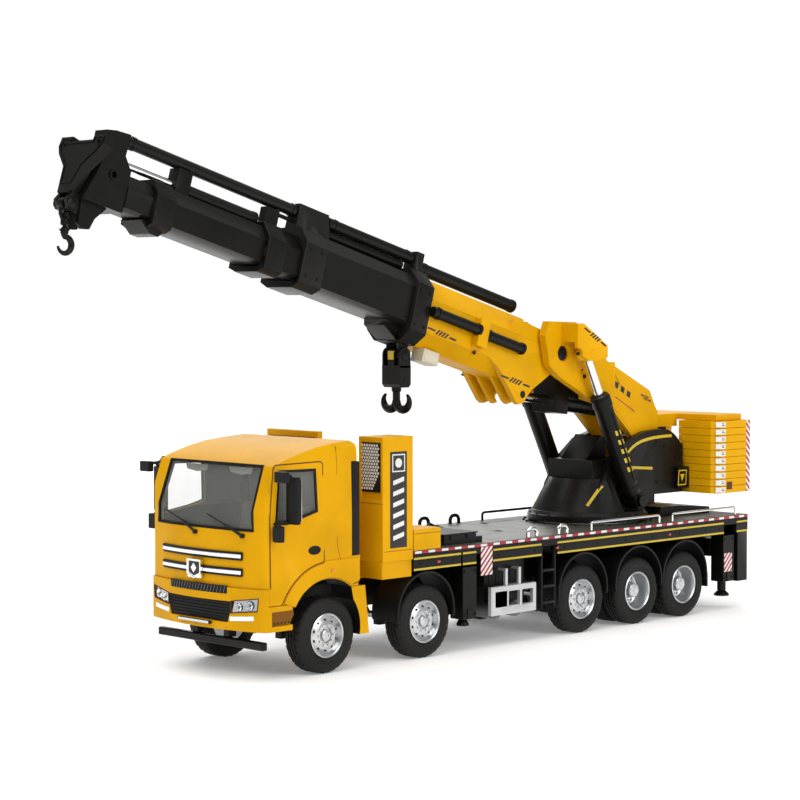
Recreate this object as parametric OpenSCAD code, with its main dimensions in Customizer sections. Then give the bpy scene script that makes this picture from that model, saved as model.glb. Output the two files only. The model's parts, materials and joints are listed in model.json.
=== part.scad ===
// Knuckle-boom crane on a five-axle truck, a 1:50 die-cast toy, in millimetres.
// The truck faces -Y, its left side is +X and it stands on z = 0.
// Inside the modules, y is counted from a datum 1.5 mm ahead of the third axle's drive flange;
// place() then moves everything so that the origin is under the middle of the bounding box.

/* [Truck] */
// Width of the deck, cab and bumper
body_w = 50; // [48:0.5:52]
// Height of the deck's top face
deck_z = 32; // [31.5:0.1:32.2]
// Thickness of the deck plate
deck_t = 3; // [2.5:0.1:3.2]
// Outer radius of a tyre
tyre_r = 10.8; // [10.4:0.1:10.9]
// Radius of a rim where the tyre sits
rim_r = 6.3; // [6:0.1:6.8]
// Width of one tyre
tyre_w = 7; // [6.5:0.1:7]
// Radius of an axle shaft
shaft_r = 1; // [0.9:0.05:1.1]

/* [Crane] */
// Radius of the turntable
turntable_r = 20; // [19:0.5:20.5]
// Rise of the outer boom above the horizon, in degrees
boom_angle = 15.6; // [14:0.1:17]
// Radius of the pin at the foot of the inner arm
arm_pin_r = 2; // [1.8:0.05:2.1]
// Radius of the pin at the knuckle
knuckle_pin_r = 1.8; // [1.6:0.05:1.9]
// Radius of a lift cylinder's barrel
lift_barrel_r = 3; // [2.8:0.1:3.1]
// Radius of a lift cylinder's rod
lift_rod_r = 1.5; // [1.4:0.1:1.7]
// Number of counterweight plates in each stack
weight_plates = 10; // [8:1:12]

/* [Fits] */
// Radial clearance of a shaft or rod in its bore
running_gap = 0.05; // [0.03:0.01:0.08]
// Clearance between nested boom sections
slide_gap = 0.15; // [0.12:0.01:0.18]

/* [Hidden] */
$fn = 48;
half_w = body_w / 2;
deck_bottom = deck_z - deck_t;
deck_front = -83;
deck_rear = 79.4;
axle_z = tyre_r;
axle_y = [-116.5, -77.35, -6.7, 21, 45.2];
first_dual = 3;
tyre_outer_x = 24.4;
dual_gap = 1;
rail_in = 5.5;
rail_out = 8;
rail_bottom = 17;
rail_top = 24;
bumper_top = 25.7;
bumper_bottom = 13.9;
front_mid_y = -143.4;
nose_y = -144.2;
slew_y = 24.3;
arm_foot = [43.5, 57.5];
knuckle = [-2, 88];
lift_x = 15.4;
lift_foot = [30, 39];
lift_head = [5, 87.8];
elbow_foot = [35, 68.6];
hook_at = [-191.2, -9.4];
hook_reach = 2.95;
counterweight_rear = 80.4;
sweep_front = knuckle[0] + hook_at[0] * cos(boom_angle) + hook_at[1] * sin(boom_angle) - hook_reach;
frame_shift = -(sweep_front + counterweight_rear) / 2;

// ---- helpers ----

module place() {
    translate([0, frame_shift, 0]) children();
}

// A box given by its two ends on each axis
module block(x, y, z) {
    translate([x[0], y[0], z[0]]) cube([x[1] - x[0], y[1] - y[0], z[1] - z[0]]);
}

module both_sides() {
    children();
    mirror([1, 0, 0]) children();
}

// A side outline in (y, z), given thickness along X
module side_plate(points, x) {
    translate([x[0], 0, 0]) rotate([90, 0, 90]) linear_extrude(x[1] - x[0]) polygon(points);
}

// A cylinder along X through (y, z)
module x_rod(at, r, x) {
    translate([x[0], at[0], at[1]]) rotate([0, 90, 0]) cylinder(r = r, h = x[1] - x[0]);
}

// A cylinder along Y
module y_rod(x, z, r, y) {
    translate([x, y[0], z]) rotate([-90, 0, 0]) cylinder(r = r, h = y[1] - y[0]);
}

// Points along an arc, in degrees
function arc(c, r, a0, a1, n = 12) =
    [for (i = [0:n]) [c[0] + r * cos(a0 + (a1 - a0) * i / n), c[1] + r * sin(a0 + (a1 - a0) * i / n)]];

// Direction and length from one (y, z) point to another
function span(a, b) = norm(b - a);
function lean(a, b) = atan2(b[1] - a[1], b[0] - a[0]);

// Puts children drawn along +Z from the origin onto the line a-b in the side plane at x
module along(x, a, b) {
    translate([x, a[0], a[1]]) rotate([lean(a, b) - 90, 0, 0]) children();
}

// The outer boom's own frame: forwards is -Y and the knuckle pin is at the origin
module in_boom() {
    translate([0, knuckle[0], knuckle[1]]) rotate([-boom_angle, 0, 0]) children();
}

// Outline of a boom section, eight-sided: half width, shoulder heights, crown and keel
function boom_outline(w, side, crown, keel, g = 0) = [
    [w + g, side[0] - g / 2], [w + g, side[1] + g / 2], [crown[0] + g, crown[1] + g],
    [-crown[0] - g, crown[1] + g], [-w - g, side[1] + g / 2], [-w - g, side[0] - g / 2],
    [-keel[0] - g, keel[1] - g], [keel[0] + g, keel[1] - g]
];

// A boom section from s[0] to s[1] ahead of the knuckle
module boom_bar(outline, s) {
    translate([0, -s[0], 0]) rotate([90, 0, 0]) linear_extrude(s[1] - s[0]) polygon(outline);
}

// ---- chassis ----

module frame_rails() color([0.1, 0.1, 0.1]) place() {
    both_sides() difference() {
        union() {
            block([rail_in, rail_out], [-139, 78], [rail_bottom, rail_top]);
            for (y = axle_y) block([rail_in, rail_out], [y - 3, y + 3], [axle_z - 2.4, rail_bottom]);
        }
        for (y = axle_y) x_rod([y, axle_z], shaft_r + running_gap, [rail_in - 1, rail_out + 1]);
        // windows the outrigger beams slide through
        for (i = [0:1]) block([rail_in - 1, rail_out + 1],
            [housing_mid(i) - 2.6, housing_mid(i) + 2.6], [18.7, 23.3]);
    }
    for (y = [-136, -104, -68, -32, 7, 33, 60, 75])
        block([-rail_in, rail_in], [y, y + 3], [rail_bottom + 1, rail_top - 1]);
    block([-rail_in, rail_in], [-133, -108], [rail_bottom + 0.5, rail_top - 0.5]);
}

recess = [-70.5, -48];
recess_half = 17;
slew_bore = 3 + running_gap;

module deck() color([0.33, 0.35, 0.29]) place() {
    difference() {
        block([-half_w, half_w], [deck_front, deck_rear], [deck_bottom, deck_z]);
        block([-recess_half, recess_half], recess, [deck_bottom + 0.8, deck_z + 1]);
        translate([0, slew_y, 0]) cylinder(r = slew_bore, h = 60);
        for (p = [[-16.1, -8.6], [3.6, -23.3]])
            block([p[0] - 1.5, p[0] + 1.5], [p[1] - 1.2, p[1] + 1.2], [deck_z - 0.8, deck_z + 1]);
    }
    both_sides() block([rail_in, rail_out], [deck_front, 78], [rail_top, deck_bottom]);
    // low tapered tray behind the turntable
    side_plate([[46.5, deck_z], [75, deck_z], [75, 34], [58, 35.4], [48.5, 35.4]], [-12, 12]);
}

skirt_low = 26;
skirt_in = 22.4;

module side_skirts() color([0.13, 0.13, 0.13]) place() {
    both_sides() {
        for (y = [[deck_front, -62.9], [-62.3, -56.2], [-49, -26.8], [-19.6, 66], [73, deck_rear]])
            block([skirt_in, half_w], y, [skirt_low, deck_bottom]);
        // hazard plate hung beside the front outrigger
        block([23.4, half_w], [-54.4, -49.4], [22.3, deck_bottom]);
        // rear corner box and the frame under it
        block([14, half_w - 0.2], [74, deck_rear], [9.3, skirt_low]);
        block([14, skirt_in], [74, deck_rear], [skirt_low, deck_bottom]);
        block([rail_out, 14], [74, 78], [19, rail_top]);
        // battery and filter boxes between the second axle and the ladder
        block([10, 20.5], [-48, -30], [13, 24]);
        block([rail_out, 10], [-46, -32], [18, 23]);
        block([10, 20.5], [-48, -30], [24, deck_bottom]);
    }
}

// ---- cab ----

cab_rear = -104.3;
cab_in = 1.3;
arch_c = [-116.9, 12.5];
arch_r = 14.4;

// Side outline of the cab, shrunk by g; the floor line steps down ahead of the wheel
function cab_side(g, low) = [
    [-105.2 - g, low > 0 ? 24 + g : 15], [cab_rear - g, 33], [-105.4 - g, 64.2 - g],
    [-106.6 - g, 65.2 - g],
    [-113.8, 64.6 - g], [-120.1, 63.9 - g], [-126.4, 62.6 - g], [-131.4 + g * 0.2, 61.2 - g],
    [-134.6 + g * 0.4, 60.2 - g], [-136.6 + g, 59.3 - g], [-142.9 + g, 41.2], [front_mid_y + g, 34],
    [front_mid_y + g, low > 0 ? 25.8 : 15], [-138.8, low > 0 ? 25.8 : 15], [-138.8, low > 0 ? 21.1 : 15],
    [-131, low > 0 ? 21.1 : 15], [-130, low > 0 ? 24 + g : 15]
];

// Plan outline: a bowed nose and rounded corners
function cab_plan(g, w) = concat(
    [for (i = [-8:8]) [(w - 2 - g) * i / 8, front_mid_y + g + 3.2 * pow(i / 8, 2)]],
    arc([w - 2.2, front_mid_y + 5.6], 2.2 - g, -60, 0, 4),
    [[w - g, cab_rear + 3], [-w + g, cab_rear + 3]],
    arc([-w + 2.2, front_mid_y + 5.6], 2.2 - g, 180, 240, 4));

// Front outline in (x, z): roof edges rounded, sides leaning in above the waist
function cab_front(g) = concat(
    [[-24.9 + g, 14], [24.9 - g, 14], [24.8 - g, 45]],
    arc([21.3, 62.3], 3.1 - g, 5, 84, 6),
    arc([-21.3, 62.3], 3.1 - g, 96, 175, 6),
    [[-24.8 + g, 45]]);

module cab_form(g, low = 1) {
    intersection() {
        side_plate(cab_side(g, low), [-26, 26]);
        translate([0, 0, 14]) linear_extrude(58) polygon(cab_plan(g, 24.9));
        translate([0, -90, 0]) rotate([90, 0, 0]) linear_extrude(60) polygon(cab_front(g));
    }
}

windscreen = [[-20.3, 41.7], [20.3, 41.7], [19.8, 59.1], [-19.8, 59.1]];
side_window = [[-134.8, 57.9], [-121.5, 57.7], [-121, 46.2], [-126.3, 44.9], [-136.4, 43.4]];

module window_cuts(x_skin, y_skin) {
    translate([0, y_skin[1], 0]) rotate([90, 0, 0]) linear_extrude(y_skin[1] - y_skin[0])
        polygon(windscreen);
    both_sides() side_plate(side_window, x_skin);
}

module cab_shell() color([0.95, 0.7, 0.05]) place() {
    difference() {
        cab_form(0);
        // hollow, open below, with the floor added back
        cab_form(cab_in, 0);
        window_cuts([20, 26], [-146, -128]);
        both_sides() x_rod(arch_c, arch_r, [15.5, 26]);
        block([-26, 26], [-143, -109], [15, 21.05]);
        // notch for the intake column
        both_sides() block([21, 26], [-107.6, -104], [32.6, 59.4]);
    }
    // floor carried on the rails, and the wheel arches' inner skins
    block([-15.6, 15.6], [-139, -105.8], [rail_top, 25.2]);
    both_sides() difference() {
        x_rod(arch_c, arch_r + 0.9, [15.6, 23.7]);
        x_rod(arch_c, arch_r, [15, 24]);
        block([14, 25], [-135, -100], [-5, rail_top]);
    }
    both_sides() block([15.6, 23.7], [-139, -130.4], [rail_top, 25.2]);
    // rear mudguard leg behind the front wheel
    both_sides() difference() {
        side_plate([[-108, 23.9], [-102.6, 23.9], [-101, 10], [-104.8, 10]], [16.5, half_w]);
        x_rod(arch_c, arch_r - 2, [15.5, 26]);
    }
}

// Glass fills the window openings, set back from the outer skin
module cab_glass() color([0.2, 0.23, 0.25, 0.6]) place() {
    intersection() {
        difference() {
            cab_form(0.4);
            cab_form(cab_in - 0.1);
        }
        window_cuts([20, 26], [-146, -128]);
    }
}

module seat(x) {
    block([x - 5, x + 5], [-126, -116], [28, 31]);
    side_plate([[-117, 31], [-114, 31], [-111.5, 46], [-114, 46]], [x - 4.6, x + 4.6]);
    block([x - 3, x + 3], [-122, -119], [25.2, 28]);
}

module cab_interior() color([0.16, 0.16, 0.16]) place() {
    seat(10);
    seat(-10);
    // dashboard
    side_plate([[-138.5, 33], [-131, 33], [-132, 38.5], [-138.5, 39.6]], [-18, 18]);
    block([-9, 9], [-138.5, -136], [25.2, 33]);
    // steering wheel and its column
    translate([10, -129.2, 38.6]) rotate([-55, 0, 0]) {
        rotate_extrude() translate([3.2, 0]) circle(r = 0.45);
        cylinder(r = 0.6, h = 4, center = true);
        for (a = [0, 90]) rotate([0, 0, a]) cube([6.4, 0.7, 0.5], center = true);
    }
    block([9.2, 10.8], [-133.2, -130.6], [35.6, 37.4]);
}

function bumper_plan(g) = concat(
    [for (i = [-8:8]) [(22.8 - g) * i / 8, nose_y + g + 3.4 * pow(i / 8, 2)]],
    arc([22.8, -138.4], 2.2 - g, -60, 0, 4),
    [[half_w - g, -130.4], [-half_w + g, -130.4]],
    arc([-22.8, -138.4], 2.2 - g, 180, 240, 4));

function lamp_outline(s) = [
    [s * 13.4, 18.7], [s * 22.2, 19.7], [s * 22.6, 23.2], [s * 13.6, 22]
];

grille_low = [[-14.2, 21.9], [14.2, 21.9], [12.4, 16], [-12.4, 16]];
// the lamps stop short of this, just outside the lower grille
grille_keep = [[-14.5, 22.2], [14.5, 22.2], [12.7, 15.7], [-12.7, 15.7]];

module front_cut(points) {
    translate([0, -137, 0]) rotate([90, 0, 0]) linear_extrude(12) polygon(points);
}

module front_bumper() color([0.95, 0.7, 0.05]) place() {
    difference() {
        translate([0, 0, bumper_bottom]) linear_extrude(bumper_top - bumper_bottom)
            polygon(bumper_plan(0));
        translate([0, 0.3, bumper_bottom - 1]) linear_extrude(bumper_top - bumper_bottom + 2)
            polygon(bumper_plan(1.9));
        // the tall part stops where the cab's side panels begin
        block([-30, 30], [-139, -129], [20.9, 30]);
        front_cut(grille_low);
        for (s = [-1, 1]) front_cut(lamp_outline(s));
        both_sides() block([24, 26], [-138, -129], [15.4, 19.4]);
        // cooling slot above the grille
        front_cut([[-11.8, 23.9], [11.8, 23.9], [11.8, 25.2], [-11.8, 25.2]]);
    }
    // shelf that ties the bumper to the rails
    both_sides() block([rail_out, 12], [-141.6, -136], [17.5, 20]);
    both_sides() side_plate([[-142.2, 15.2], [-140.8, 15.2], [-140.8, 20], [-141.6, 20], [-141.6, 16],
        [-142.2, 16]],
        [rail_out, 12]);
}

// Bright trim bars on the nose
module grille_trims() color([0.85, 0.86, 0.88]) place() {
    for (z = [34.5, 30]) intersection() {
        difference() {
            translate([0, 0, z - 0.55]) linear_extrude(1.1) polygon(cab_plan(-0.7, 24.9));
            translate([0, 0, z - 2]) linear_extrude(4) polygon(cab_plan(0, 24.9));
        }
        block([-16.9, 16.9], [-150, -135], [20, 40]);
    }
    // plain shield badge in the middle
    block([-2.9, 2.9], [-144.9, -144.1], [27.5, 32.7]);
}

module front_grilles() color([0.08, 0.08, 0.08]) place() {
    // lower grille and cooling slot, set into the bumper
    translate([0, -141.7, 0]) rotate([90, 0, 0]) linear_extrude(1.1) polygon(grille_low);
    block([-11.8, 11.8], [-141.9, -140.6], [23.9, 25.2]);
    block([-1, 1], [-141.9, -140.9], [21.5, 24.3]);
    // number-plate shelf
    block([-7, 7], [-145.3, -144.3], [15.2, 16.1]);
}

module head_lamps() color([0.9, 0.92, 0.94]) place() {
    for (s = [-1, 1]) intersection() {
        difference() {
            translate([0, 0, 17]) linear_extrude(8) polygon(bumper_plan(0.3));
            translate([0, 0, 16]) linear_extrude(10) polygon(bumper_plan(1.9));
            front_cut(grille_keep);
        }
        front_cut(lamp_outline(s));
    }
}

module mirrors() color([0.1, 0.1, 0.1]) place() {
    both_sides() {
        block([26.6, 31.2], [-134.4, -132.2], [43.3, 57.2]);
        // kerb mirror and the bracket over the main one
        block([25.6, 28.4], [-138.6, -136.4], [38.8, 43]);
        block([26.8, 27.8], [-137.6, -134.4], [42, 43.8]);
        block([26.6, 27.8], [-134.6, -132.6], [43.2, 43.8]);
        block([24.6, 29], [-137.4, -132.8], [57.2, 58.6]);
        block([27.5, 31.5], [-139.5, -136], [55.2, 58.4]);
    }
}

module wipers() color([0.06, 0.06, 0.06]) place() {
    for (x = [-9.4, 9.2]) translate([x, -144.1, 42.4]) rotate([7, 0, 0]) rotate([0, -62, 0]) {
        translate([0, -0.1, -4.6]) cube([0.6, 0.5, 9.4]);
    }
}

// Black intake column up the cab's rear corner
module air_intake() color([0.09, 0.09, 0.09]) place() {
    both_sides() block([21.3, 24.7], [-107.4, -104.3], [32.7, 59.3]);
}

module underrun_bar() color([0.08, 0.08, 0.08]) place() {
    block([-22.7, 22.7], [-139.6, -137.6], [8.6, 10.9]);
    both_sides() block([rail_in, rail_out], [-139, -136], [10.9, rail_bottom]);
}

// ---- boxes and fittings on the deck ----

module equipment_boxes() color([0.95, 0.7, 0.05]) place() {
    // left: narrow tall box; right: wide one with a taller headboard
    difference() {
        block([14.9, half_w], [-95.5, -83.2], [29.6, 65.6]);
        block([16, 24], [-96, -94.9], [47.5, 64]);
    }
    difference() {
        union() {
            block([-half_w, -2.4], [-95.5, -83.2], [29.6, 60.5]);
            block([-half_w, -2.4], [-95.5, -93.6], [60.5, 66.2]);
        }
        block([-24, -3.6], [-96, -94.9], [47.5, 64.4]);
    }
    // low tool box on the deck behind the left one
    block([15, half_w], [-82.8, -71.6], [deck_z, 38.2]);
    // base frame under the tall pair, resting on the rails
    block([-13.5, 13.5], [-95.2, -83.2], [rail_top, 29.6]);
    both_sides() block([13.5, half_w - 0.6], [-95.2, -83.2], [24.6, 29.6]);
}

module pump_unit() color([0.1, 0.1, 0.1]) place() {
    floor_z = deck_bottom + 0.8;
    block([-9, 8.6], [-69, -51], [floor_z, 31]);
    y_rod(-3, 33, 2.2, [-68, -50]);
    block([-5.6, -0.4], [-62, -56], [31, 32]);
    block([9, 16.6], [-69.4, -49], [floor_z, 33.4]);
    block([-16.6, -9.4], [-68, -52], [floor_z, 33]);
}

// A bent handrail: two posts and a top bar along Y
module handrail(x, y, h, r) {
    for (end = y) translate([x, end, deck_z]) cylinder(r = r, h = h - r);
    y_rod(x, deck_z + h - r, r, y);
    for (end = y) translate([x, end, deck_z + h - r]) sphere(r = r);
}

module deck_rails() color([0.85, 0.85, 0.85]) place() {
    both_sides() {
        handrail(23.6, [-1.6, 32.8], 3, 0.4);
        handrail(23.6, [39.6, 74], 3, 0.4);
        for (y = [-31.4, -17.2]) handrail(23.4, [y, y + 4], 3.2, 0.6);
    }
}

module ladders() color([0.08, 0.08, 0.08]) place() {
    both_sides() {
        for (y = [-26.6, -20.4]) block([23.4, 24.6], [y, y + 0.7], [9.4, deck_bottom]);
        for (z = [11, 16, 21]) block([23.4, 24.8], [-25.9, -20.4], [z, z + 0.8]);
    }
}

guard_y = [-49, -28.6];

module tank_guards() color([0.82, 0.83, 0.85]) place() {
    both_sides() {
        difference() {
            block([23, 24.4], guard_y, [9.4, 18.2]);
            for (i = [0:2]) block([22, 26], [guard_y[0] + 2 + i * 6, guard_y[0] + 7 + i * 6], [12, 16.4]);
        }
        for (y = [-42.2, -36.2]) block([23, 24], [y, y + 1.1], [18.2, 23.4]);
        for (y = [-42.2, -36.2]) block([20.5, 24], [y, y + 1.1], [22.6, 23.4]);
        // stay to the battery box
        block([20.5, 23], [-40, -34], [17, 18.2]);
    }
}

module tanks() color([0.45, 0.45, 0.46]) place() {
    both_sides() {
        // air tanks under the battery box
        for (y = [-43.5, -34.5]) x_rod([y, 10.4], 2.6, [11, 21.6]);
    }
}

fender_r = 12;
fender_c = 13.7;

module fender(y) {
    difference() {
        x_rod([y, fender_c], fender_r, [14, 24.9]);
        x_rod([y, fender_c], fender_r - 0.7, [13, 26]);
        block([13, 26], [y - 15, y + 15], [0, 11.6]);
    }
}

module fenders() color([0.07, 0.07, 0.07]) place() {
    both_sides() {
        for (i = [1:4]) fender(axle_y[i]);
        // stays to the rails and the last mud flap
        for (i = [1:4]) block([rail_out, 14.2], [axle_y[i] - 1, axle_y[i] + 1], [22.8, 24]);
        for (i = [1:4]) block([14, 15], [axle_y[i] - 1, axle_y[i] + 1], [22.8, 25.3]);
        block([14.5, 24.6], [57.1, 57.8], [9, 13.7]);
    }
}

// ---- outriggers ----

housing_y = [[-62, -55], [66, 73]];
beam_half = 2.3;
beam_z = [18.9, 23.1];
jack_x = 21.4;
jack_r = 1.5;
pad_z = [7.4, 4.6];
pad_r = [1.9, 2.6];

module outrigger_housings() color([0.08, 0.08, 0.08]) place() {
    for (y = housing_y) difference() {
        block([-19, 19], y, [18, rail_top]);
        for (side = [-1, 1]) block([side > 0 ? 0.4 : -30, side > 0 ? 30 : -0.4],
            [(y[0] + y[1]) / 2 - beam_half - slide_gap, (y[0] + y[1]) / 2 + beam_half + slide_gap],
            [beam_z[0] - slide_gap, beam_z[1] + slide_gap]);
        both_sides() block([rail_in, rail_out], [y[0] - 1, y[1] + 1], [10, rail_top + 1]);
    }
}

function housing_mid(i) = (housing_y[i][0] + housing_y[i][1]) / 2;

// Beam with the jack's sleeve at its end, for side s and housing i
module outrigger_beam(s, i) {
    color([0.1, 0.1, 0.1]) place() scale([s, 1, 1]) difference() {
        union() {
            block([0.6, 19], [housing_mid(i) - beam_half, housing_mid(i) + beam_half], beam_z);
            block([19.2, 24.4], [housing_mid(i) - 3, housing_mid(i) + 3], [9.6, 25.4]);
            block([18.9, 19.3], [housing_mid(i) - beam_half, housing_mid(i) + beam_half], beam_z);
        }
        translate([jack_x, housing_mid(i), 0]) cylinder(r = jack_r + running_gap, h = 24);
    }
}

module outrigger_jack(s, i) {
    color([0.12, 0.12, 0.12]) place() translate([s * jack_x, housing_mid(i), 0]) {
        translate([0, 0, pad_z[i] + 1.9]) cylinder(r = jack_r, h = 14.6);
        translate([0, 0, pad_z[i]]) rotate_extrude()
            polygon([[0, 0], [pad_r[i], 0], [pad_r[i], 0.6], [1.2, 1.9], [0, 1.9]]);
    }
}

// ---- wheels ----

function inner_x(i) = tyre_outer_x - tyre_w - (i >= first_dual ? tyre_w + dual_gap : 0);

module tyre_ring(x_in) {
    translate([x_in, 0, 0]) rotate([0, 90, 0]) rotate_extrude()
        polygon([
            [rim_r, 0.6], [rim_r + 1, 0], [tyre_r - 1.4, 0], [tyre_r - 0.3, 0.9], [tyre_r, 1.6],
            [tyre_r, tyre_w - 1.6], [tyre_r - 0.3, tyre_w - 0.9], [tyre_r - 1.4, tyre_w],
            [rim_r + 1, tyre_w], [rim_r, tyre_w - 0.6]
        ]);
}

module tyres(i) color([0.09, 0.09, 0.09]) place() {
    translate([0, axle_y[i], axle_z]) both_sides() {
        tyre_ring(tyre_outer_x - tyre_w);
        if (i >= first_dual) tyre_ring(tyre_outer_x - 2 * tyre_w - dual_gap);
    }
}

// Rim disc, dished for twin wheels, and the shaft through both
module wheels(i) color([0.75, 0.76, 0.78]) place() {
    dish = i >= first_dual ? 4.6 : 1.8;
    face = tyre_outer_x - 0.5;
    hub = i >= first_dual ? 1.9 : 1.6;
    translate([0, axle_y[i], axle_z]) {
        both_sides() rotate([0, 90, 0]) rotate_extrude() polygon([
            [shaft_r, inner_x(i) + 0.6], [rim_r, inner_x(i) + 0.6], [rim_r, face],
            [rim_r - 0.6, face], [rim_r - 1.1, face - dish], [hub + 0.6, face - dish],
            [hub, face - 0.6], [shaft_r, face - 0.4]
        ]);
        rotate([0, 90, 0]) cylinder(r = shaft_r, h = 2 * face - 0.8, center = true);
    }
}

// ---- turntable and column ----

ring_top = deck_z + 0.6;
table_low = ring_top + 0.1;
table_top = 36;

module slew_ring() color([0.25, 0.25, 0.26]) place() {
    translate([0, slew_y, deck_z]) difference() {
        cylinder(r = 17.5, h = ring_top - deck_z);
        translate([0, 0, -1]) cylinder(r = 9, h = 4);
    }
}

module turntable() color([0.08, 0.08, 0.08]) place() {
    translate([0, slew_y, 0]) {
        translate([0, 0, table_low]) cylinder(r = turntable_r, h = 2);
        translate([0, 0, table_low + 2])
            cylinder(r1 = turntable_r - 0.4, r2 = turntable_r - 1.4, h = table_top - table_low - 2);
        // pivot pin with its rivet head under the deck
        translate([0, 0, deck_bottom - 0.1]) cylinder(r = 3, h = 5);
        translate([0, 0, deck_bottom - 1.3]) cylinder(r = 4.4, h = 1.2);
    }
}

cheek_x = [9.6, 12];
arm_low_x = [6.6, 9.3];
cheek = concat(
    [[40, table_top], [44.2, 40], [60, 40], [60, 56.4]],
    arc([48.6, 49.2], 12.6, 36, 90, 6),
    [[40, 61.2], [30.2, 58.5], [22, 52.5], [16, 44], [14, table_top]]);

module column() color([0.07, 0.07, 0.07]) place() {
    difference() {
        union() {
            both_sides() side_plate(cheek, cheek_x);
            // front casting: cone on the table, stepped up to the cheeks
            intersection() {
                translate([0, slew_y, table_top]) cylinder(r1 = turntable_r - 1.6, r2 = 12.5, h = 11);
                block([-20, 20], [0, 21.5], [table_top, 46.6]);
            }
            block([-cheek_x[0], cheek_x[0]], [15.5, 27], [table_top, 52.6]);
            side_plate([[17, 52.6], [27, 52.6], [27, 59.6], [24.5, 60.4]], [-5.5, 5.5]);
            block([-cheek_x[0], cheek_x[0]], [27, 36], [table_top, 45]);
            // rear tower that carries the counterweight beam
            block([-6.3, 6.3], [51.4, 58], [40, 62]);
            block([-cheek_x[0], cheek_x[0]], [52, 60], [40, 47.6]);
            block([-6.3, 6.3], [36, 52], [table_top, 45]);
            // control cover on the left rear corner
            block([12, 13.6], [55.5, 61.4], [41.4, 48.6]);
            block([12, 13.6], [60, 61.4], [41.4, 48.6]);
        }
        x_rod(arm_foot, arm_pin_r, [-20, 20]);
        x_rod(lift_foot, 1.6, [-20, 20]);
    }
}

// Pins fixed in the column: the arm's foot pin and the lift cylinders' foot pins
module crane_pins() color([0.6, 0.6, 0.62]) place() {
    x_rod(arm_foot, arm_pin_r, [-cheek_x[1], cheek_x[1]]);
    both_sides() {
        x_rod(lift_foot, 1.6, [cheek_x[0], 18.8]);
        x_rod(lift_foot, 2.1, [18.8, 19.4]);
    }
}

weight_z = [39.8, 64.3];
weight_front = 60.4;

module counterweight() color([0.93, 0.66, 0.05]) place() {
    pitch = (weight_z[1] - weight_z[0]) / weight_plates;
    both_sides() for (i = [0:weight_plates - 1])
        translate([0, 0, weight_z[0] + i * pitch]) linear_extrude(pitch - 0.12) difference() {
            polygon([[8.8, weight_front + 1.4], [22.4, weight_front + 1.4], [half_w, 64],
                [half_w, counterweight_rear], [8.8, counterweight_rear]]);
            translate([17, 72]) circle(r = 1.2);
        }
    // tie rods through the stacks, and the beam from the tower
    both_sides() translate([17, 72, weight_z[0]]) cylinder(r = 1.2, h = weight_z[1] - weight_z[0] + 0.6);
    difference() {
        union() {
            block([-6.3, 6.3], [51.4, 64], [62, 66.3]);
            block([-23, 23], [64, 78], [weight_z[1], 66.3]);
        }
        both_sides() translate([17, 72, 60]) cylinder(r = 1.2, h = 4.9);
    }
}

// ---- inner arm and lift cylinders ----

head_x = [9.2, 12];
arm_low = concat(
    [[11.9, 72.8], [25.5, 69.4], [36.4, 59.6]],
    arc(arm_foot, 6.2, 180, 345, 8),
    [[49.7, 62.8], [49.7, 67.4], [48.2, 69.6], [45.5, 74.7], [23.4, 85], [11.9, 91]]);
arm_head = [
    [-10.6, 93.8], [-8.7, 98.3], [4.4, 97.9], [13, 93], [17.6, 89.4], [20, 84.8], [24, 84.7],
    [24, 70.6], [11.9, 72.8], [-3.5, 80.4], [-8.4, 84]
];

module inner_arm() color([0.95, 0.7, 0.05]) place() {
    difference() {
        union() {
            both_sides() {
                side_plate(arm_low, arm_low_x);
                side_plate(arm_head, head_x);
                // step between the wide head and the narrow foot
                side_plate([[15.5, 72], [24, 70.6], [24, 84.7], [20, 84.8], [15.5, 89]],
                    [arm_low_x[0], head_x[0]]);
                // fork that takes the lift rod
                side_plate([[-2.6, 91.6], [-2.6, 97.6], [0.4, 97.6], [12.2, 90.9], [12.2, 90],
                    [8, 91.6]], [12, 17.4]);
                side_plate([[-2.6, 88.4], [-2.6, 97.6], [0.4, 97.6], [12.2, 90.4], [12.2, 86.6],
                    [7.4, 85.6], [3, 85.6]],
                    [17.4, 18.7]);
            }
            // crown web that ties the two sides
            side_plate([[14, 88], [22.4, 83.2], [37, 76.8], [37.6, 78.2], [23.4, 84.8], [17.6, 88.9],
                [14, 91.4]],
                [-arm_low_x[0], arm_low_x[0]]);
            side_plate([[9.8, 92.6], [14, 90], [17, 89], [14.5, 91.6], [9.8, 94.4]],
                [-head_x[0], head_x[0]]);
        }
        x_rod(arm_foot, arm_pin_r + running_gap, [-20, 20]);
        x_rod(knuckle, knuckle_pin_r, [-20, 20]);
        x_rod(lift_head, 1.2, [-20, 20]);
        x_rod(elbow_foot, 1.4, [-20, 20]);
        both_sides() x_rod(knuckle, 2.6, [11.4, 13]);
        both_sides() x_rod([7.4, 82.4], 0.6, [11, 13]);
    }
}

// Pins fixed in the arm: knuckle, lift rod heads and elbow cylinder foot
module arm_pins() color([0.6, 0.6, 0.62]) place() {
    x_rod(knuckle, knuckle_pin_r, [-11.4, 11.4]);
    both_sides() x_rod(lift_head, 1.2, [head_x[0], 18.9]);
    x_rod(elbow_foot, 1.4, [-arm_low_x[1], arm_low_x[1]]);
}

lift_length = span(lift_foot, lift_head);
lift_gland = 39;
lift_eye_gap = 0.45;

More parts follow.
